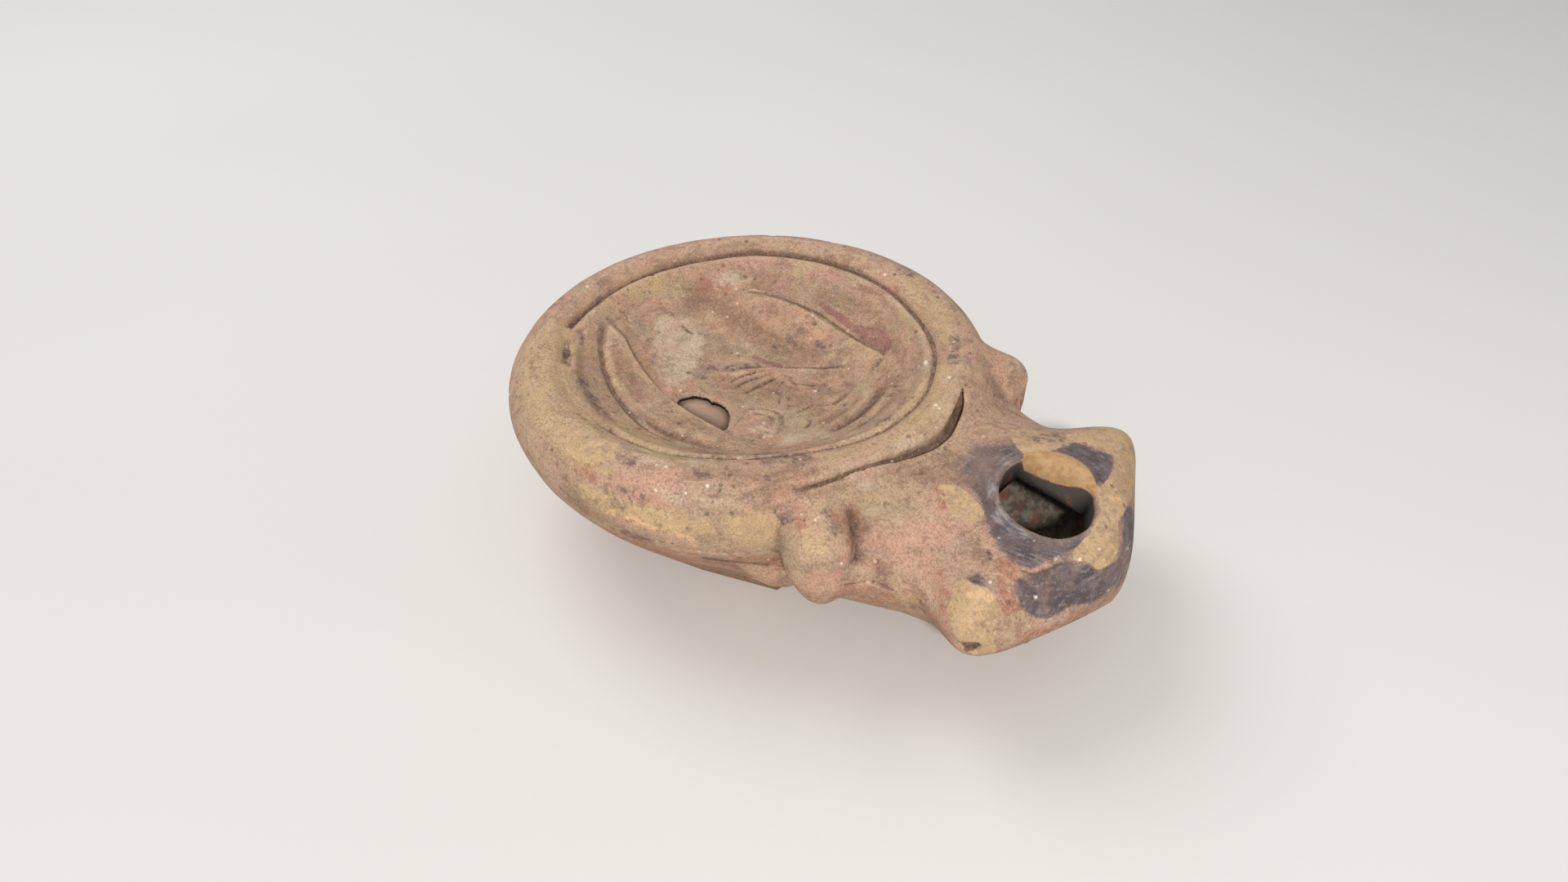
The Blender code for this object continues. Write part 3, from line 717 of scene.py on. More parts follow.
axes, values = sample()
points, quads = surface_nets(axes, values)
points = settle(points)
metres = np.stack([points[:, 0] * R, points[:, 1] * R, (points[:, 2] + WAIST) * R], 1)
mesh = mesh_from(metres, quads, "lamp_clay")
lamp = bpy.data.objects.new("lamp_clay_body", mesh)
bpy.context.scene.collection.objects.link(lamp)

# thin the mesh, mostly inside and underneath
x, y, z = points.T.astype(np.float32)
shell = carve(solid(x, y, z), x, y, z)
weight = np.where(shell < -0.03, 1.0, 0.0)
weight = np.maximum(weight, smooth(-0.10, -0.30, z))
group = lamp.vertex_groups.new(name="thin")
levels = np.round(weight * 4) / 4
for level in np.unique(levels):
    group.add(np.nonzero(levels == level)[0].tolist(), float(level), 'REPLACE')
n_tri = 2 * len(quads)
limit = TRIANGLES
if n_tri > limit:
    thin = lamp.modifiers.new("thin", 'DECIMATE')
    thin.ratio = limit / n_tri * 0.995
    thin.vertex_group = "thin"
    thin.vertex_group_factor = 1.2
    evaluated = lamp.evaluated_get(bpy.context.evaluated_depsgraph_get())
    thinned = bpy.data.meshes.new_from_object(evaluated)
    lamp.modifiers.clear()
    old = lamp.data
    lamp.data = thinned
    bpy.data.meshes.remove(old)
lamp.vertex_groups.clear()
mesh = lamp.data
mesh.name = "lamp_clay"
mesh.polygons.foreach_set("use_smooth", np.ones(len(mesh.polygons), bool))

# ---------------------------------------------------------------- what lies where, for the clay's colours
count = len(mesh.vertices)
co = np.empty(count * 3, np.float32)
mesh.vertices.foreach_get("co", co)
co = np.clip(co.reshape(-1, 3), np.array([-R, -R, 0.0], np.float32), np.array([0.061164, R, 0.026352], np.float32))
mesh.vertices.foreach_set("co", co.ravel())
mesh.update()
nv = np.empty(count * 3, np.float32)
mesh.vertices.foreach_get("normal", nv)
nv = nv.reshape(-1, 3)
x, y, z = co[:, 0] / R, co[:, 1] / R, co[:, 2] / R - WAIST
print("LAMP", count, "vertices", sum(len(p.vertices) - 2 for p in mesh.polygons), "triangles")


def keep(name, values):
    attribute = mesh.attributes.new(name, 'FLOAT', 'POINT')
    attribute.data.foreach_set("value", np.asarray(values, np.float32))


def area(points):
    return area_distance(x, y, spline(points, 5, True))


def spot(cx, cy, rx, ry=None, degrees=0.0):
    """Distance inside an oval."""
    ry = rx if ry is None else ry
    c, s = math.cos(math.radians(degrees)), math.sin(math.radians(degrees))
    u, v = (x - cx) * c + (y - cy) * s, -(x - cx) * s + (y - cy) * c
    q = np.sqrt((u / rx) ** 2 + (v / ry) ** 2) + 1e-6
    return -q * (q - 1.0) / np.sqrt((u / rx ** 2) ** 2 + (v / ry ** 2) ** 2 + 1e-6)


def any_of(*fields):
    out = fields[0]
    for f in fields[1:]:
        out = np.maximum(out, f)
    return np.clip(out, -0.3, 0.3)


outside = carve(solid(x, y, z), x, y, z)
inner_side = smooth(-0.012, -0.03, outside)              # 1 on the walls of the hollow
upper = z > -0.30
angle = np.degrees(np.arctan2(y, x))
rr = np.hypot(x, y)

# Patches are outlined as they appear from the viewing point, in a frame 1920 wide and 1080 high, and lie on the
# surface that faces it. One share of R is about 320 of that frame.
AWAY = VIEW_AT - co
DEPTH = AWAY @ VIEW_BACK
SEEN_U = 960.0 - VIEW_SCALE * (AWAY @ VIEW_RIGHT) / DEPTH
SEEN_V = 540.0 + VIEW_SCALE * (AWAY @ VIEW_UP) / DEPTH
facing = ((nv * AWAY).sum(1) > 0.0) & (outside > -0.014)


def drawn(*points):
    """Distance inside an outline."""
    return np.where(facing, area_distance(SEEN_U, SEEN_V, spline(points, 4, True)) / 320.0, -0.3)


def daub(half, *points):
    """Distance inside a stroke of some half-width."""
    line = spline(points, 4) if len(points) > 1 else np.array([points[0], (points[0][0] + 0.5, points[0][1])])
    return np.where(facing, (half - line_distance(SEEN_U, SEEN_V, line)[0]) / 320.0, -0.3)


wick, way = wick_distance(x, y)
way = np.degrees(way)
top_of_nozzle = (x > 1.0) & (outside > -0.03)

# yellow-buff deposit with a crisp edge
buff = any_of(
    drawn((1150, 598), (1158, 594), (1174, 596), (1184, 602), (1194, 611), (1202, 621), (1205, 632), (1198, 637), (1188, 639),
          (1176, 634), (1162, 629), (1160, 617), (1152, 608)),
    drawn((1236, 527), (1262, 526), (1290, 533), (1330, 528), (1345, 522), (1363, 518), (1378, 524), (1388, 545), (1393, 580),
          (1388, 605), (1378, 622), (1371, 640), (1371, 658), (1368, 677), (1360, 690), (1344, 697), (1333, 689), (1316, 687),
          (1313, 677), (1324, 665), (1333, 655), (1341, 636), (1348, 623), (1342, 598), (1352, 592), (1361, 580), (1364, 562),
          (1354, 552), (1335, 545), (1310, 541), (1294, 550), (1268, 557), (1251, 555), (1243, 542)),
    drawn((1164, 735), (1167, 716), (1180, 709), (1196, 716), (1210, 718), (1215, 727), (1221, 740), (1223, 760), (1217, 778),
          (1219, 794), (1206, 806), (1190, 802), (1174, 788), (1165, 768), (1161, 750)),
    drawn((709, 592), (724, 597), (742, 608), (771, 612), (783, 621), (795, 615), (808, 626), (840, 631), (838, 646), (820, 652),
          (800, 648), (771, 637), (746, 627), (728, 619), (712, 606)),
    drawn((893, 641), (900, 635), (914, 629), (934, 630), (948, 641), (949, 654), (938, 660), (921, 653), (905, 657)),
    drawn((728, 572), (738, 568), (750, 570), (756, 577), (742, 584), (731, 580)),
    drawn((690, 540), (705, 528), (730, 530), (757, 538), (757, 552), (744, 556), (735, 566), (712, 566), (698, 556)),
    daub(3.0, (985, 651), (996, 650)))
keep("buff", buff)
# yellow-buff haze, soft at its edge
haze = any_of(
    drawn((632, 440), (660, 400), (690, 395), (705, 420), (700, 460), (715, 495), (745, 530), (757, 552), (730, 575), (690, 560),
          (655, 520), (636, 485)),
    drawn((1106, 335), (1124, 342), (1144, 358), (1160, 380), (1172, 405), (1170, 424), (1152, 416), (1140, 400), (1126, 382),
          (1112, 360)),
    drawn((1065, 530), (1095, 507), (1125, 480), (1142, 458), (1156, 446), (1168, 456), (1168, 478), (1160, 500), (1148, 516),
          (1122, 530), (1090, 540)),
    drawn((762, 352), (790, 330), (812, 330), (815, 350), (800, 362), (775, 366)),
    drawn((980, 652), (992, 648), (1010, 652), (1014, 666), (1008, 682), (990, 687), (980, 678)),
    drawn((700, 590), (740, 604), (800, 622), (860, 634), (870, 650), (830, 658), (780, 645), (730, 622)),
    drawn((880, 632), (915, 622), (950, 628), (958, 650), (940, 666), (900, 662)),
    drawn((1185, 380), (1200, 372), (1222, 384), (1234, 408), (1226, 425), (1205, 415), (1190, 400)),
    daub(9.0, (760, 520), (790, 545), (830, 562)), daub(7.0, (1010, 560), (1060, 548), (1100, 530)),
    np.where((angle > 96) & (angle < 150) & (z < 0.10), 0.05 - np.abs(rr - 0.955), -0.3))
keep("haze", haze)
# thin dark lines: cracks and creases, and along the leaf's crisp outer edge a line of painted shade
line = any_of(
    daub(2.4, (1210, 674), (1212, 684)), daub(2.0, (1252, 700), (1268, 703), (1300, 690)),
    daub(1.7, (916, 357), (941, 361), (973, 372), (1002, 384), (1031, 404), (1056, 420), (1079, 431)), daub(1.3, (860, 683), (900, 688), (940, 691)),
    daub(1.3, (883, 599), (879, 606)), daub(1.4, (896, 594), (900, 598)), daub(1.2, (1034, 716), (1070, 712), (1100, 726)),
    daub(4.0, (1184, 794), (1192, 792)))
keep("line", line)
keep("orange", any_of(daub(3.6, (768, 634), (784, 640), (803, 648)), daub(2.4, (829, 652), (834, 656)), daub(2.4, (843, 657), (850, 668)),
                      daub(5.0, (1188, 729), (1200, 726), (1211, 731)), daub(4.0, (1362, 609), (1369, 609)), daub(3.5, (1006, 672), (1008, 678)),
                      daub(2.5, (1143, 498)), daub(2.0, (744, 627), (749, 629))))
soot = any_of(
    drawn((1295, 549), (1308, 545), (1316, 541), (1332, 546), (1346, 551), (1361, 557), (1363, 570), (1357, 587), (1349, 593),
          (1338, 590), (1330, 577), (1320, 566), (1302, 557)),
    drawn((1180, 566), (1194, 551), (1216, 546), (1243, 548), (1256, 556), (1262, 590), (1290, 640), (1330, 655), (1324, 664),
          (1312, 674), (1290, 684), (1268, 694), (1254, 694), (1234, 681), (1216, 659), (1207, 634), (1203, 616), (1192, 600),
          (1184, 584)),
    drawn((1245, 708), (1246, 726), (1249, 740), (1257, 750), (1270, 755), (1286, 755), (1305, 746), (1323, 740), (1345, 733),
          (1363, 721), (1378, 704), (1387, 681), (1391, 655), (1389, 630), (1382, 618), (1376, 630), (1373, 655), (1370, 678),
          (1361, 690), (1345, 698), (1332, 692), (1318, 690), (1306, 684), (1290, 692), (1268, 701), (1254, 704)),
    daub(3.2, (1188, 711), (1198, 714), (1205, 718)), daub(2.4, (1196, 706), (1203, 709)))
keep("soot", np.where(top_of_nozzle, soot, -0.3))
keep("thin_soot", smooth(1246, 1192, SEEN_U) * smooth(622, 580, SEEN_V))
keep("wiped", any_of(daub(8.0, (1234, 568), (1250, 572)), daub(7.0, (1222, 628), (1236, 645), (1250, 652)), daub(5.0, (1216, 588), (1219, 610))))
keep("grey", np.where(x > 0.95, any_of(0.10 - wick, drawn((1172, 566), (1190, 545), (1225, 538), (1260, 548), (1260, 600), (1200, 610), (1184, 590)),
                                       daub(9.0, (1388, 560), (1394, 610), (1394, 660)), daub(9.0, (1079, 702), (1084, 712)),
                                       daub(8.0, (1184, 712), (1200, 712), (1210, 718)), daub(9.0, (1196, 560), (1215, 552))), -0.3))
keep("red", any_of(drawn((1003, 372), (1010, 370), (1020, 378), (1034, 387), (1047, 397), (1059, 399), (1075, 402), (1087, 410),
                         (1092, 421), (1085, 431), (1074, 428), (1059, 418), (1043, 405), (1024, 391), (1008, 380)),
                   daub(1.8, (1150, 601), (1156, 606)),
                   daub(2.6, (924, 438), (940, 444), (957, 449))))
rust = any_of(
    daub(6.0, (862, 346), (876, 350), (888, 354)), drawn((1216, 690), (1230, 678), (1246, 690), (1248, 715), (1250, 745), (1236, 752),
                                                     (1226, 740), (1220, 715)),
    daub(7.0, (975, 632), (983, 645)), daub(7.0, (1040, 622), (1050, 640), (1046, 668)), daub(5.0, (1020, 628), (1034, 640)),
    daub(6.0, (1150, 604), (1154, 618)), daub(4.0, (1150, 700), (1158, 724), (1152, 750)), daub(3.0, (1343, 608), (1346, 618), (1345, 629)),
    daub(1.6, (826, 384), (832, 396), (838, 400)), daub(2.0, (760, 380), (766, 388)), daub(3.0, (1092, 352), (1120, 372), (1140, 400)),
    daub(2.5, (878, 676), (910, 684), (938, 686), (962, 696)), daub(3.0, (745, 650), (790, 670), (850, 694)), daub(4.0, (1072, 690), (1090, 730)),
    daub(3.0, (700, 560), (716, 575), (728, 586)), daub(4.0, (650, 350), (690, 330), (730, 312)), daub(5.0, (1250, 778), (1290, 770), (1330, 752)))
keep("rust", rust)
keep("plum", any_of(
    drawn((948, 624), (958, 619), (968, 622), (971, 640), (962, 648), (951, 646)), daub(5.0, (1045, 650), (1049, 668), (1042, 684)),
    daub(3.5, (868, 450), (900, 450), (936, 445)), daub(4.0, (966, 414), (972, 421)), daub(3.0, (983, 424)), daub(3.0, (997, 418), (1010, 428)),
    daub(3.5, (708, 406), (712, 418)), daub(4.5, (696, 430), (699, 445)), daub(4.0, (710, 466), (716, 470)), daub(3.5, (722, 484), (730, 493)),
    daub(4.0, (731, 500), (740, 506)), daub(6.0, (1168, 414), (1172, 426), (1166, 440)), daub(3.0, (1172, 396)), daub(4.0, (758, 560), (775, 568)),
    daub(3.5, (848, 579), (868, 584)), daub(1.8, (880, 600), (878, 608)), daub(3.0, (898, 596)), daub(3.0, (938, 584), (948, 590)), daub(3.0, (1076, 520), (1090, 512)),
    daub(3.0, (1000, 315), (1020, 318)), daub(4.0, (760, 598), (772, 604)), daub(3.0, (1210, 676), (1212, 684)), daub(5.0, (1262, 538), (1300, 536)),
    daub(4.0, (1100, 330), (1116, 336)), daub(3.0, (843, 648)), daub(6.0, (930, 560), (990, 562)), daub(2.0, (752, 646), (770, 654), (800, 664))))
keep("pale", any_of(
    drawn((800, 392), (830, 384), (858, 400), (862, 430), (850, 455), (822, 468), (806, 440)), daub(8.0, (880, 350), (896, 342)),
    daub(9.0, (1105, 545), (1125, 536)), daub(7.0, (1138, 452), (1165, 462)), daub(6.0, (1060, 594), (1076, 598)), daub(4.0, (1042, 697), (1068, 700)),
    daub(4.0, (1236, 779), (1270, 770), (1300, 758)), daub(3.0, (868, 676), (900, 679), (934, 679)), daub(4.0, (752, 402), (762, 424)), daub(6.0, (790, 560), (860, 566)),
    daub(5.0, (960, 538), (1010, 532)), daub(3.5, (815, 604), (850, 612), (900, 618)), daub(4.0, (1120, 690), (1145, 745)), daub(5.0, (925, 524), (944, 530))))
keep("brown", any_of(
    drawn((836, 352), (856, 346), (872, 362), (866, 384), (848, 384)), daub(11.0, (880, 376), (910, 396), (950, 424), (985, 432)), daub(7.0, (700, 420), (712, 470), (740, 520)),
    daub(8.0, (1080, 400), (1100, 440), (1090, 480)), daub(8.0, (785, 505), (830, 535), (880, 548)), daub(9.0, (760, 440), (780, 480)),
    drawn((1100, 560), (1150, 548), (1190, 560), (1180, 592), (1140, 590), (1105, 580)), daub(8.0, (940, 596), (990, 600), (1030, 590)),
    daub(7.0, (860, 575), (930, 582), (1000, 578)), daub(7.0, (1000, 360), (1040, 372), (1080, 384)), daub(8.0, (1010, 520), (1060, 500), (1090, 470)),
    daub(10.0, (900, 480), (960, 475), (1000, 500)), daub(5.0, (1192, 670), (1205, 688)), daub(5.0, (690, 600), (740, 634), (790, 660))))
specks = ((1292, 684, 2.2), (1297, 682, 1.6), (1322, 685, 2.0), (1268, 731, 2.4), (1381, 672, 1.4), (1212, 713, 2.2), (803, 600, 2.2), (839, 604, 1.6),
          (866, 595, 2.0), (1075, 332, 1.8), (1083, 336, 2.0), (622, 483, 2.2), (1133, 444, 2.2), (1162, 462, 2.0), (998, 479, 1.6), (1002, 633, 2.0),
          (998, 637, 1.4), (1015, 642, 1.4), (719, 351, 1.2), (832, 478, 1.4), (935, 518, 1.2), (1150, 500, 1.8), (1146, 496, 1.8), (1117, 585, 1.2),
          (1345, 672, 1.6), (1030, 690, 1.6), (871, 563, 1.2), (1008, 518, 1.2), (1092, 470, 1.2), (1254, 612, 0.9))
keep("white", any_of(*[daub(size, (u, v)) for u, v, size in specks]))
char = smooth(0.30, 0.12, np.abs(wick)) * (x > 0.9) + smooth(0.95, 1.15, x)
keep("inside", inner_side)
keep("char", np.clip(char, 0, 1))
chip = area_distance(SEEN_U, SEEN_V, spline([(1254, 556), (1270, 553), (1296, 554), (1316, 561), (1333, 574), (1342, 592), (1343, 606),
                                             (1336, 604), (1323, 597), (1301, 595), (1285, 590), (1270, 583), (1254, 577)], 4, True)) / 320.0
toward = (nv * AWAY).sum(1) > -0.2 * np.linalg.norm(AWAY, axis=1)
keep("chip", np.where(toward & (x > 1.0) & (z > -0.07) & (z < 0.12), chip, -0.3))
# painted shade: the lower middle of the chipped bevel darker
shade = line_distance(SEEN_U, SEEN_V, spline([(1262, 580), (1285, 588), (1305, 593)], 4))[0] / 320.0
keep("chip_shade", np.where(toward, 0.026 - shade, -0.3))
# painted shadow: near-black on the broken inner edge of the filling hole, under its overhang
keep("fill_hole_shadow", (plan.read(x, y, fill_grid) < 0.012) * (z > -0.22) * (z < 0.02) * smooth(-0.004, -0.010, outside) * (rr < 0.5))
# painted shade in the ring groove, strongest on its far left
keep("ring_groove_shade", np.where((outside > -0.014) & (z > 0.05), plan.read(x, y, ring_groove_shade), 0.0) * (0.20 + 0.80 * smooth(0.25, 0.05, x) * smooth(0.0, 0.45, y)))
# marks the lower inside of the nozzle, whose floor is painted lighter than its wall as painted light
keep("deep", smooth(-0.07, -0.22, z))
inner_seen = ((nv * AWAY).sum(1) > 0.0) & (outside < -0.02) & (x > 0.9)
keep("ember", np.where(inner_seen, area_distance(SEEN_U, SEEN_V, spline([(1240, 610), (1250, 612), (1262, 624), (1272, 642), (1274, 655), (1262, 650),
                                                                       (1248, 640), (1238, 624)], 4, True)) / 320.0, -0.3))
# painted light: a near-white sliver on a wall inside the wick hole, standing in for lit clay seen through a gap
keep("lit_sliver", np.where(((nv * AWAY).sum(1) > 0.0) & (x > 0.9), area_distance(SEEN_U, SEEN_V, spline([(1227, 600), (1230, 597), (1236, 596), (1235, 601),
                                                                       (1231, 605), (1228, 610)], 4, True)) / 320.0, -0.3))
keep("low", smooth(-0.10, -0.19, z + 0.02 * noise.at(x * 5, y * 5, z * 5)) * (outside > -0.012))
keep("bowl", smooth(0.75, 0.66, rr) * (z > -0.13))
keep("nozzle", smooth(0.98, 1.08, x))
keep("flank", np.maximum(smooth(-0.02, -0.10, z), (x > 1.1) * smooth(-0.42, -0.48, y)))
keep("under", smooth(-0.50, -0.545, z) * (outside > -0.01))

# hollows and edges, from how the surface bends over two distances
ends_of = np.empty(len(mesh.edges) * 2, np.int32)
mesh.edges.foreach_get("vertices", ends_of)
ends_of = ends_of.reshape(-1, 2)
a, b = ends_of.T
degree = np.bincount(ends_of.ravel(), minlength=count).astype(np.float32)


def spread(v):
    s = np.bincount(a, weights=v[b], minlength=count) + np.bincount(b, weights=v[a], minlength=count)
    return (s / degree).astype(np.float32)


d = co[b] - co[a]
length = np.linalg.norm(d, axis=1) + 1e-9
ka = (d * nv[a]).sum(1) / length
kb = -(d * nv[b]).sum(1) / length
bend = (np.bincount(a, weights=ka, minlength=count) + np.bincount(b, weights=kb, minlength=count)) / degree
fine = bend.astype(np.float32)
spacing = STEP / 0.0165
for _ in range(round(2 / spacing)):
    fine = spread(fine)
wide = fine
for _ in range(round(14 / spacing ** 2)):
    wide = spread(wide)
# hollow and wide also drive the painted shade in the hollows of the clay
keep("hollow", np.clip(fine * 5.0 / spacing, -1, 1))
keep("wide", np.clip(wide * 14.0 / spacing, -1, 1))


# ---------------------------------------------------------------- clay
def srgb(r, g, b):
    f = lambda c: (c / 255.0 / 12.92) if c / 255.0 <= 0.04045 else ((c / 255.0 + 0.055) / 1.055) ** 2.4
    return (f(r), f(g), f(b), 1.0)


class Graph:
    """Short names for building a node tree."""

    def __init__(self, name):
        self.material = bpy.data.materials.new(name)
        self.material.use_nodes = True
        self.tree = self.material.node_tree
        self.shader = self.tree.nodes["Principled BSDF"]
        self.coord = self.tree.nodes.new("ShaderNodeTexCoord").outputs["Object"]

    def link(self, a, b):
        self.tree.links.new(a, b)

    def put(self, socket, value):
        if isinstance(value, bpy.types.NodeSocket):
            self.link(value, socket)
        else:
            socket.default_value = value

    def attribute(self, name):
        node = self.tree.nodes.new("ShaderNodeAttribute")
        node.attribute_name = name
        return node.outputs["Fac"]

    def math(self, operation, a, b=0.0, c=None, clamp=False):
        node = self.tree.nodes.new("ShaderNodeMath")
        node.operation = operation
        node.use_clamp = clamp
        self.put(node.inputs[0], a)
        self.put(node.inputs[1], b)
        if c is not None:
            self.put(node.inputs[2], c)
        return node.outputs[0]

    def ramp(self, value, low, high, out_low=0.0, out_high=1.0, ease=True):
        node = self.tree.nodes.new("ShaderNodeMapRange")
        node.interpolation_type = 'SMOOTHSTEP' if ease else 'LINEAR'
        node.clamp = True
        self.put(node.inputs["Value"], value)
        node.inputs["From Min"].default_value = low
        node.inputs["From Max"].default_value = high
        node.inputs["To Min"].default_value = out_low
        node.inputs["To Max"].default_value = out_high
        return node.outputs["Result"]

    def noise(self, scale, detail=3.0, roughness=0.55, distortion=0.0, offset=(0.0, 0.0, 0.0), stretch=(1.0, 1.0, 1.0)):
        place = self.tree.nodes.new("ShaderNodeMapping")
        place.inputs["Location"].default_value = offset
        place.inputs["Scale"].default_value = stretch
        self.link(self.coord, place.inputs["Vector"])
        node = self.tree.nodes.new("ShaderNodeTexNoise")
        node.inputs["Scale"].default_value = scale
        node.inputs["Detail"].default_value = detail
        node.inputs["Roughness"].default_value = roughness
        node.inputs["Distortion"].default_value = distortion
        self.link(place.outputs[0], node.inputs["Vector"])
        return node.outputs["Fac"]

    def swirl(self, turns, across, centre=(0.0, 0.0), detail=3.0, roughness=0.6, offset=0.0):
        """Noise drawn out in rings about an upright axis."""
        split = self.tree.nodes.new("ShaderNodeSeparateXYZ")
        self.link(self.coord, split.inputs[0])
        px = self.math('SUBTRACT', split.outputs[0], centre[0])
        py = self.math('SUBTRACT', split.outputs[1], centre[1])
        far = self.math('SQRT', self.math('ADD', self.math('ADD', self.math('MULTIPLY', px, px), self.math('MULTIPLY', py, py)), 1e-8))
        join = self.tree.nodes.new("ShaderNodeCombineXYZ")
        self.link(self.math('MULTIPLY', self.math('DIVIDE', px, far), turns), join.inputs[0])
        self.link(self.math('MULTIPLY', self.math('DIVIDE', py, far), turns), join.inputs[1])
        self.link(self.math('MULTIPLY', split.outputs[2], across), join.inputs[2])
        node = self.tree.nodes.new("ShaderNodeTexNoise")
        node.noise_dimensions = '4D'
        node.inputs["Scale"].default_value = 1.0
        node.inputs["Detail"].default_value = detail
        node.inputs["Roughness"].default_value = roughness
        self.link(join.outputs[0], node.inputs["Vector"])
        self.link(self.math('ADD', self.math('MULTIPLY', far, across), offset), node.inputs["W"])
        return node.outputs["Fac"]

    def grains(self, scale, randomness=1.0, offset=(0.0, 0.0, 0.0)):
        place = self.tree.nodes.new("ShaderNodeMapping")
        place.inputs["Location"].default_value = offset
        self.link(self.coord, place.inputs["Vector"])
        node = self.tree.nodes.new("ShaderNodeTexVoronoi")
        node.inputs["Scale"].default_value = scale
        node.inputs["Randomness"].default_value = randomness
        self.link(place.outputs[0], node.inputs["Vector"])
        pick = self.tree.nodes.new("ShaderNodeSeparateColor")
        self.link(node.outputs["Color"], pick.inputs[0])
        return node.outputs["Distance"], pick.outputs[0]

    def mix(self, factor, a, b, blend='MIX'):
        node = self.tree.nodes.new("ShaderNodeMix")
        node.data_type = 'RGBA'
        node.blend_type = blend
        node.clamp_factor = True
        self.put(node.inputs[0], factor)
        self.put(node.inputs[6], a)
        self.put(node.inputs[7], b)
        return node.outputs[2]


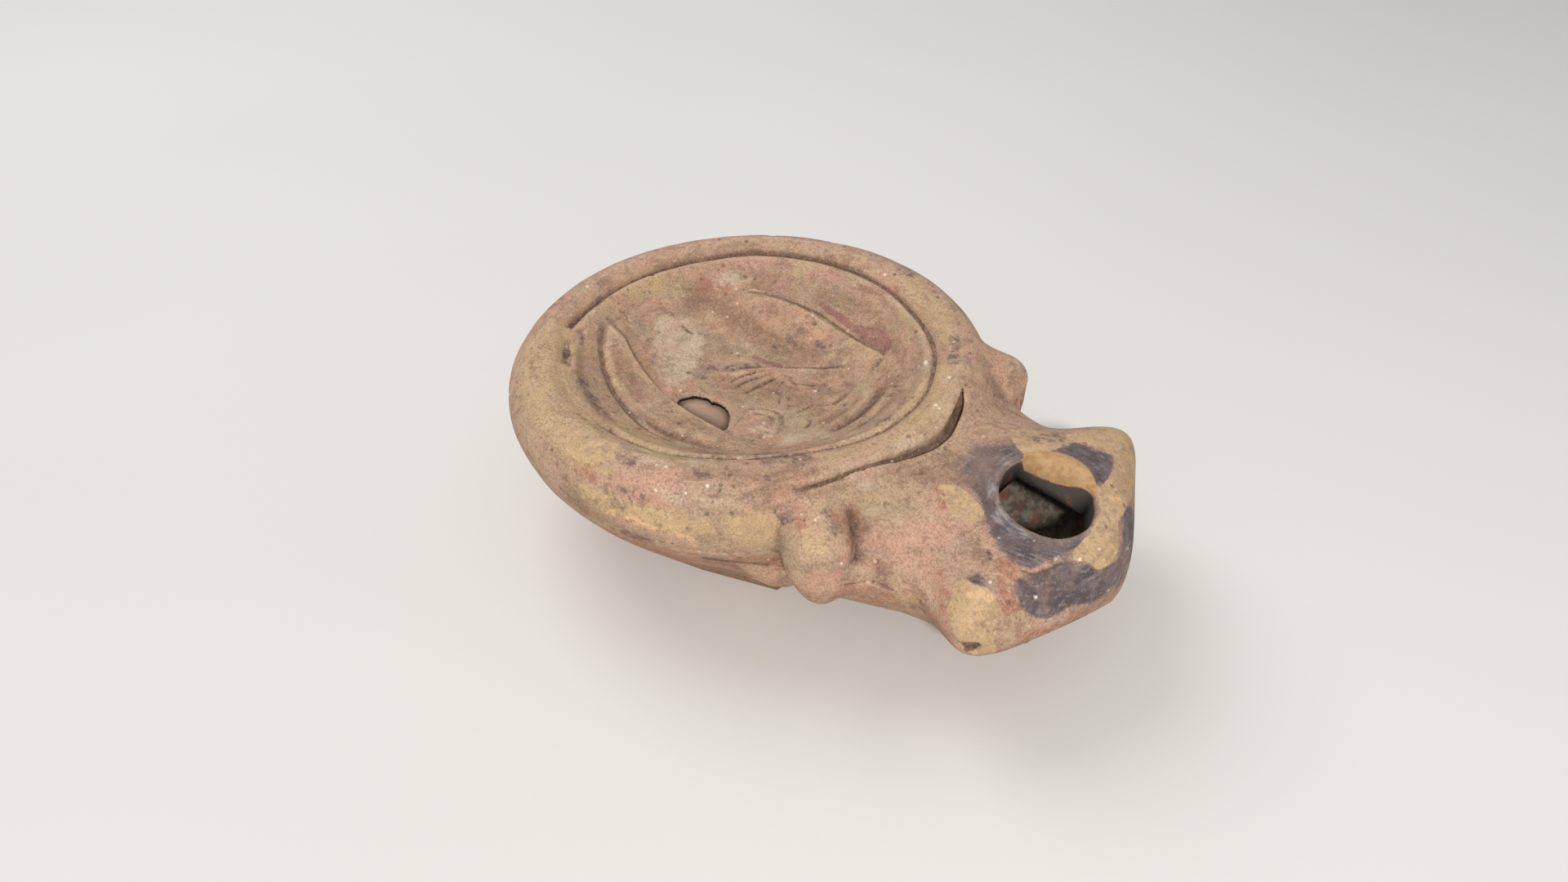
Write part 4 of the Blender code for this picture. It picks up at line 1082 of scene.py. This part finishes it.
def clay_material():
    g = Graph("fired_clay_worn")
    edge_a = g.noise(140.0, 5.0, 0.62, 0.3)                       # about 7 mm, for the outlines of patches
    edge_b = g.noise(900.0, 4.0, 0.65, 0.0, (3.1, 0.2, 5.0))      # about 1 mm
    edge_m = g.noise(420.0, 4.0, 0.62, 0.2, (5.9, 6.2, 0.4))      # 2.4 mm
    blotch = g.noise(60.0, 4.0, 0.55, 0.4, (1.7, 4.2, 0.3))       # 17 mm
    mottle = g.noise(260.0, 5.0, 0.62, 0.3, (7.7, 1.2, 2.3))      # 4 mm
    mottle2 = g.noise(420.0, 4.0, 0.6, 0.5, (2.4, 8.2, 4.9))
    grain = g.noise(3400.0, 3.0, 0.65, 0.0, (0.4, 2.7, 9.1))      # 0.3 mm
    dust = g.noise(6000.0, 2.0, 0.7, 0.0, (5.4, 6.7, 1.1))
    rings = g.swirl(5.0, 620.0, detail=4.0)
    round_wick = g.swirl(4.0, 1700.0, (WICK_X * R, WICK_Y * R), 4.0, 0.65, 3.7)
    along = g.noise(520.0, 4.0, 0.6, 0.2, (9.2, 3.3, 1.8), (0.30, 1.8, 1.8))
    wipe = g.mix(g.attribute("nozzle"), rings, round_wick)
    wipe = g.mix(g.attribute("flank"), wipe, along)

    def patch(name, soft, wander_a, wander_b, wander_m=0.0, shift=0.0):
        v = g.attribute(name)
        v = g.math('ADD', v, g.math('MULTIPLY', g.math('SUBTRACT', edge_a, 0.5), wander_a))
        v = g.math('ADD', v, g.math('MULTIPLY', g.math('SUBTRACT', edge_b, 0.5), wander_b))
        if wander_m:
            v = g.math('ADD', v, g.math('MULTIPLY', g.math('SUBTRACT', edge_m, 0.5), wander_m))
        return g.ramp(v, shift - soft, shift + soft)

    def cloud(scale, offset, low, high, most):
        return g.ramp(g.noise(scale, 7.0, 0.66, 0.35, offset), low, high, 0.0, most)

    # clay: pinkish to tan, in ragged clouds; darker in the bowl of the discus, as painted shade of the sunken field
    colour = g.mix(g.ramp(blotch, 0.42, 0.58), srgb(192, 152, 129), srgb(183, 153, 126))
    bowl = g.mix(g.ramp(blotch, 0.42, 0.58), srgb(180, 144, 119), srgb(171, 144, 117))
    colour = g.mix(g.attribute("bowl"), colour, bowl)
    colour = g.mix(g.attribute("low"), colour, g.mix(g.ramp(along, 0.4, 0.6), srgb(178, 135, 110), srgb(160, 124, 104)))
    colour = g.mix(cloud(150.0, (6.1, 0.7, 3.9), 0.50, 0.60, 0.50), colour, srgb(198, 148, 129))
    colour = g.mix(cloud(190.0, (2.2, 5.1, 8.8), 0.51, 0.60, 0.55), colour, srgb(192, 168, 132))
    colour = g.mix(cloud(230.0, (1.9, 7.4, 0.6), 0.51, 0.62, 0.62), colour, srgb(140, 108, 88))
    colour = g.mix(cloud(280.0, (8.3, 2.6, 6.4), 0.54, 0.64, 0.45), colour, srgb(134, 117, 114))
    colour = g.mix(cloud(420.0, (3.3, 3.8, 1.1), 0.52, 0.64, 0.30), colour, srgb(210, 172, 143))
    colour = g.mix(cloud(450.0, (0.2, 9.8, 5.2), 0.53, 0.65, 0.30), colour, srgb(128, 98, 82))
    colour = g.mix(cloud(105.0, (9.1, 2.8, 5.7), 0.52, 0.62, 0.26), colour, srgb(202, 150, 126))
    colour = g.mix(cloud(125.0, (4.8, 9.3, 2.6), 0.52, 0.62, 0.34), colour, srgb(164, 148, 122))
    colour = g.mix(g.math('MULTIPLY', patch("pale", 0.024, 0.05, 0.02, 0.05), g.ramp(edge_m, 0.38, 0.62, 0.30, 0.85)), colour, srgb(202, 180, 154))
    colour = g.mix(g.math('MULTIPLY', patch("brown", 0.030, 0.05, 0.02, 0.04), g.ramp(edge_b, 0.36, 0.60, 0.35, 0.70)), colour, srgb(134, 104, 82))
    rust = patch("rust", 0.018, 0.03, 0.03, 0.04)
    colour = g.mix(g.math('MULTIPLY', rust, g.ramp(edge_b, 0.38, 0.60, 0.20, 0.80)), colour, srgb(166, 104, 84))
    haze = patch("haze", 0.020, 0.05, 0.03, 0.06)
    colour = g.mix(g.math('MULTIPLY', haze, g.ramp(edge_m, 0.38, 0.64, 0.88, 0.40)), colour, srgb(194, 165, 122))
    buff = patch("buff", 0.0035, 0.014, 0.018, 0.032)
    buff_colour = g.mix(cloud(260.0, (4.1, 1.6, 2.9), 0.46, 0.58, 1.0), srgb(199, 167, 124), srgb(184, 155, 119))
    buff_colour = g.mix(cloud(420.0, (1.4, 7.1, 3.3), 0.50, 0.62, 0.7), buff_colour, srgb(164, 136, 108))
    buff_colour = g.mix(g.ramp(edge_b, 0.54, 0.64, 0.0, 0.5), buff_colour, srgb(214, 186, 148))
    buff_colour = g.mix(cloud(360.0, (6.3, 0.4, 8.1), 0.54, 0.64, 0.5), buff_colour, srgb(206, 164, 126))
    colour = g.mix(g.math('MULTIPLY', buff, g.ramp(edge_b, 0.30, 0.46, 0.72, 0.96)), colour, buff_colour)
    orange = patch("orange", 0.008, 0.010, 0.018, 0.030)
    colour = g.mix(g.math('MULTIPLY', orange, 0.85), colour, srgb(228, 186, 138))
    plum = patch("plum", 0.008, 0.008, 0.014, 0.014)
    colour = g.mix(g.math('MULTIPLY', plum, g.ramp(edge_b, 0.40, 0.58, 0.10, 0.80)), colour, srgb(98, 80, 82))
    # crowds of small grey-violet specks
    crowd = g.ramp(g.noise(120.0, 3.0, 0.6, 0.0, (0.9, 5.5, 2.2)), 0.46, 0.62)
    speck = g.ramp(g.noise(1250.0, 3.0, 0.6, 0.0, (1.3, 2.9, 7.7)), 0.57, 0.64)
    colour = g.mix(g.math('MULTIPLY', g.math('MULTIPLY', crowd, speck), 0.46), colour, srgb(98, 86, 88))
    grey = patch("grey", 0.040, 0.05, 0.03, 0.05)
    not_buff = g.math('SUBTRACT', 1.0, buff)
    colour = g.mix(g.math('MULTIPLY', g.math('MULTIPLY', grey, not_buff), g.ramp(mottle, 0.30, 0.62, 0.40, 0.80)), colour, srgb(114, 97, 96))
    soot = patch("soot", 0.010, 0.018, 0.026, 0.046)
    soot_colour = g.mix(g.ramp(mottle2, 0.40, 0.62), srgb(80, 72, 76), srgb(108, 97, 98))
    soot_colour = g.mix(cloud(130.0, (5.0, 4.4, 1.0), 0.50, 0.62, 0.55), soot_colour, srgb(108, 80, 80))
    soot_colour = g.mix(g.ramp(wipe, 0.51, 0.66, 0.0, 0.55), soot_colour, srgb(136, 129, 130))
    streak = g.math('MULTIPLY', patch("wiped", 0.022, 0.02, 0.02, 0.03), g.ramp(wipe, 0.44, 0.60, 0.10, 0.90))
    soot_colour = g.mix(streak, soot_colour, srgb(156, 153, 154))
    soot_colour = g.mix(g.ramp(grain, 0.54, 0.74, 0.0, 0.45), soot_colour, srgb(146, 134, 130))
    soot_colour = g.mix(g.ramp(wipe, 0.46, 0.34, 0.0, 0.40), soot_colour, srgb(66, 58, 61))
    thick = g.math('MULTIPLY', g.ramp(edge_m, 0.36, 0.52, 0.80, 0.98), g.ramp(g.attribute("thin_soot"), 0.0, 1.0, 1.0, 0.45))
    colour = g.mix(g.math('MULTIPLY', g.math('MULTIPLY', soot, not_buff), thick), colour, soot_colour)
    red = patch("red", 0.005, 0.008, 0.010, 0.014)
    colour = g.mix(g.math('MULTIPLY', red, g.ramp(mottle, 0.30, 0.66, 0.95, 0.65)), colour, srgb(146, 98, 90))

    # painted shade along the ring groove
    colour = g.mix(g.math('MULTIPLY', g.ramp(g.attribute("ring_groove_shade"), 0.20, 0.85, 0.0, 0.85), g.ramp(edge_m, 0.34, 0.60, 0.45, 1.0)), colour,
                   g.mix(g.ramp(mottle, 0.50, 0.64), srgb(104, 77, 62), srgb(134, 86, 68)))
    # painted shade in the hollows, darker where the surface bends inward over a short and a long distance; rubbed edges
    # are lighter
    hollow = g.attribute("hollow")
    wide = g.attribute("wide")
    ragged = g.ramp(edge_b, 0.34, 0.62, 0.55, 1.0)
    colour = g.mix(g.math('MULTIPLY', g.ramp(hollow, 0.10, 0.55, 0.0, 0.88), ragged), colour, srgb(86, 63, 52))
    colour = g.mix(g.ramp(wide, 0.12, 0.60, 0.0, 0.36), colour, srgb(118, 91, 74))
    rubbed = g.math('MULTIPLY', g.ramp(hollow, -0.06, -0.45), g.ramp(mottle, 0.35, 0.62, 0.25, 0.80))
    bare = g.math('SUBTRACT', 1.0, g.math('MAXIMUM', g.math('MULTIPLY', soot, 0.65), g.math('MULTIPLY', buff, 0.30)))
    colour = g.mix(g.math('MULTIPLY', g.math('MULTIPLY', rubbed, bare), 0.55), colour, srgb(208, 178, 146))
    # dark lines: cracks, creases, and painted shade along the leaf's edge
    colour = g.mix(g.math('MULTIPLY', patch("line", 0.003, 0.003, 0.005), 0.70), colour, srgb(88, 66, 58))

    # grain, scratches, dark and light inclusions
    colour = g.mix(g.math('MULTIPLY', g.ramp(grain, 0.32, 0.56, 0.46, 0.0), bare), colour, srgb(106, 80, 66))
    colour = g.mix(g.math('MULTIPLY', g.ramp(grain, 0.50, 0.76, 0.0, 0.34), bare), colour, srgb(226, 194, 164))
    colour = g.mix(g.math('MULTIPLY', g.ramp(wipe, 0.55, 0.68, 0.0, 0.26), bare), colour, srgb(216, 186, 158))
    colour = g.mix(g.math('MULTIPLY', g.ramp(wipe, 0.45, 0.32, 0.0, 0.32), bare), colour, srgb(108, 83, 70))
    near, which = g.grains(760.0)
    dots = g.math('MULTIPLY', g.math('MULTIPLY', g.ramp(near, 0.34, 0.20), g.ramp(which, 0.84, 0.88)), g.ramp(edge_b, 0.42, 0.56))
    colour = g.mix(g.math('MULTIPLY', dots, 0.62), colour, srgb(92, 78, 76))
    near2, which2 = g.grains(820.0, 1.0, (4.4, 1.3, 0.8))
    lights = g.math('MULTIPLY', g.ramp(near2, 0.26, 0.14), g.ramp(which2, 0.94, 0.96))
    colour = g.mix(g.math('MULTIPLY', lights, 0.60), colour, srgb(222, 202, 178))
    white = patch("white", 0.003, 0.004, 0.010)
    colour = g.mix(g.math('MULTIPLY', white, 0.85), colour, srgb(234, 220, 204))

    # the hollow: pale clay in the chamber, lightened to near white as painted light for its dim inside; soot in the
    # nozzle, fresh clay on the chipped edge
    inner = g.mix(g.ramp(mottle, 0.35, 0.65), srgb(252, 216, 192), srgb(246, 206, 180))
    inner = g.mix(g.ramp(grain, 0.45, 0.75, 0.0, 0.35), inner, srgb(206, 164, 144))
    burnt = g.mix(g.ramp(edge_b, 0.40, 0.62), srgb(104, 95, 86), srgb(148, 138, 124))
    burnt = g.mix(g.ramp(grain, 0.54, 0.72, 0.0, 0.40), burnt, srgb(150, 146, 116))
    # painted light: the upper wall of the nozzle's hollow darker and its floor lighter, so the lit wall and the shaded
    # floor come out alike
    burnt = g.mix(g.attribute("deep"), srgb(76, 69, 64), burnt)
    burnt = g.mix(patch("ember", 0.012, 0.02, 0.02), burnt, srgb(132, 76, 60))
    burnt = g.mix(cloud(170.0, (2.0, 3.0, 6.0), 0.52, 0.60, 0.75), burnt, srgb(150, 88, 70))
    inner = g.mix(g.ramp(g.attribute("char"), 0.20, 0.70), inner, burnt)
    colour = g.mix(g.ramp(g.attribute("inside"), 0.25, 0.75), colour, inner)
    chip = g.mix(g.ramp(mottle, 0.35, 0.65), srgb(196, 160, 116), srgb(176, 138, 94))
    chip = g.mix(g.ramp(edge_b, 0.45, 0.62, 0.0, 0.5), chip, srgb(158, 116, 76))
    # painted shade on the lower middle of the chip
    chip = g.mix(g.math('MULTIPLY', patch("chip_shade", 0.020, 0.02, 0.02), 0.8), chip, srgb(140, 98, 62))
    colour = g.mix(patch("chip", 0.0035, 0.004, 0.008), colour, chip)
    # painted light: near-white sliver inside the wick hole
    colour = g.mix(patch("lit_sliver", 0.002, 0.002, 0.004), colour, srgb(255, 226, 200))
    # painted shadow on the broken inner edge of the filling hole
    colour = g.mix(g.ramp(g.attribute("fill_hole_shadow"), 0.25, 0.75), colour, srgb(52, 38, 32))
    g.link(colour, g.shader.inputs["Base Color"])

    # matte, a little smoother where slip or soot is left
    rough = g.ramp(grain, 0.30, 0.75, 0.80, 0.96, False)
    rough = g.math('SUBTRACT', rough, g.math('MULTIPLY', g.math('MAXIMUM', soot, red), 0.14))
    g.link(rough, g.shader.inputs["Roughness"])
    g.shader.inputs["Metallic"].default_value = 0.0
    g.shader.inputs["IOR"].default_value = 1.45
    g.shader.inputs["Specular IOR Level"].default_value = 0.32

    # relief of the surface: cloudy unevenness, grain, pits and wiping marks
    height = g.math('MULTIPLY', g.math('SUBTRACT', mottle, 0.5), 0.70)
    height = g.math('ADD', height, g.math('MULTIPLY', g.math('SUBTRACT', edge_b, 0.5), 0.40))
    height = g.math('ADD', height, g.math('MULTIPLY', g.math('SUBTRACT', grain, 0.5), 0.26))
    height = g.math('ADD', height, g.math('MULTIPLY', g.math('SUBTRACT', dust, 0.5), 0.10))
    height = g.math('ADD', height, g.math('MULTIPLY', g.math('SUBTRACT', wipe, 0.5), 0.22))
    height = g.math('ADD', height, g.math('MULTIPLY', dots, -0.35))
    height = g.math('ADD', height, g.math('MULTIPLY', buff, 0.12))
    bump = g.tree.nodes.new("ShaderNodeBump")
    bump.inputs["Strength"].default_value = 0.65
    bump.inputs["Distance"].default_value = 0.00030
    g.link(height, bump.inputs["Height"])
    g.link(bump.outputs["Normal"], g.shader.inputs["Normal"])
    return g.material


mesh.materials.clear()
mesh.materials.append(clay_material())
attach(lamp, "root")
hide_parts("lamp_body")


# ---------------------------------------------------------------- floor, light, camera
def floor():
    flat = bpy.data.meshes.new("floor")
    n, reach = 64, 1.6
    ring = [(reach * math.cos(2 * math.pi * k / n), reach * math.sin(2 * math.pi * k / n), 0.0) for k in range(n)]
    flat.from_pydata(ring, [], [list(range(n))])
    made = bpy.data.objects.new("floor", flat)
    made.location.z = -0.00005
    bpy.context.scene.collection.objects.link(made)
    g = Graph("floor_pale")
    cloud = g.noise(3.0, 3.0, 0.5)
    tooth = g.noise(900.0, 3.0, 0.6)
    g.link(g.mix(g.ramp(cloud, 0.3, 0.7), srgb(226, 223, 218), srgb(221, 218, 213)), g.shader.inputs["Base Color"])
    g.link(g.ramp(tooth, 0.3, 0.7, 0.78, 0.88), g.shader.inputs["Roughness"])
    bump = g.tree.nodes.new("ShaderNodeBump")
    bump.inputs["Strength"].default_value = 0.08
    bump.inputs["Distance"].default_value = 0.0001
    g.link(tooth, bump.inputs["Height"])
    g.link(bump.outputs["Normal"], g.shader.inputs["Normal"])
    g.shader.inputs["Specular IOR Level"].default_value = 0.25
    flat.materials.append(g.material)


floor()

world = bpy.data.worlds.new("soft_studio")
bpy.context.scene.world = world
world.use_nodes = True
world.node_tree.nodes["Background"].inputs["Color"].default_value = (0.97, 0.98, 1.0, 1.0)
world.node_tree.nodes["Background"].inputs["Strength"].default_value = 0.44


def area_light(name, place, aim, size, power, colour=(1.0, 1.0, 1.0)):
    data = bpy.data.lights.new(name, 'AREA')
    data.shape = 'DISK'
    data.size = size
    data.energy = power
    data.color = colour
    made = bpy.data.objects.new(name, data)
    made.location = place
    made.rotation_mode = 'QUATERNION'
    made.rotation_quaternion = (Vector(aim) - Vector(place)).to_track_quat('-Z', 'Y')
    bpy.context.scene.collection.objects.link(made)


aim = (0.012, -0.004, 0.014)
hole = (-0.001, -0.0095, 0.0175)
area_light("key", (hole[0] + 0.3387, hole[1] - 0.3392, hole[2] + 0.3611), hole, 0.050, 2.3, (1.0, 0.99, 0.97))
area_light("fill", (-0.40, 0.05, 0.50), aim, 0.45, 1.7, (0.97, 0.985, 1.0))

camera_data = bpy.data.cameras.new("camera")
camera_data.sensor_width = 36.0
camera_data.lens = 24.443912
camera_data.clip_start, camera_data.clip_end = 0.005, 20.0
camera = bpy.data.objects.new("camera", camera_data)
bpy.context.scene.collection.objects.link(camera)
camera.matrix_world = Matrix([[float(v) for v in row] for row in np.vstack([
    np.column_stack([VIEW_RIGHT, VIEW_UP, VIEW_BACK, VIEW_AT]), [0.0, 0.0, 0.0, 1.0]])])
bpy.context.scene.camera = camera
bpy.context.scene.view_settings.view_transform = 'Standard'
bpy.context.view_layer.update()
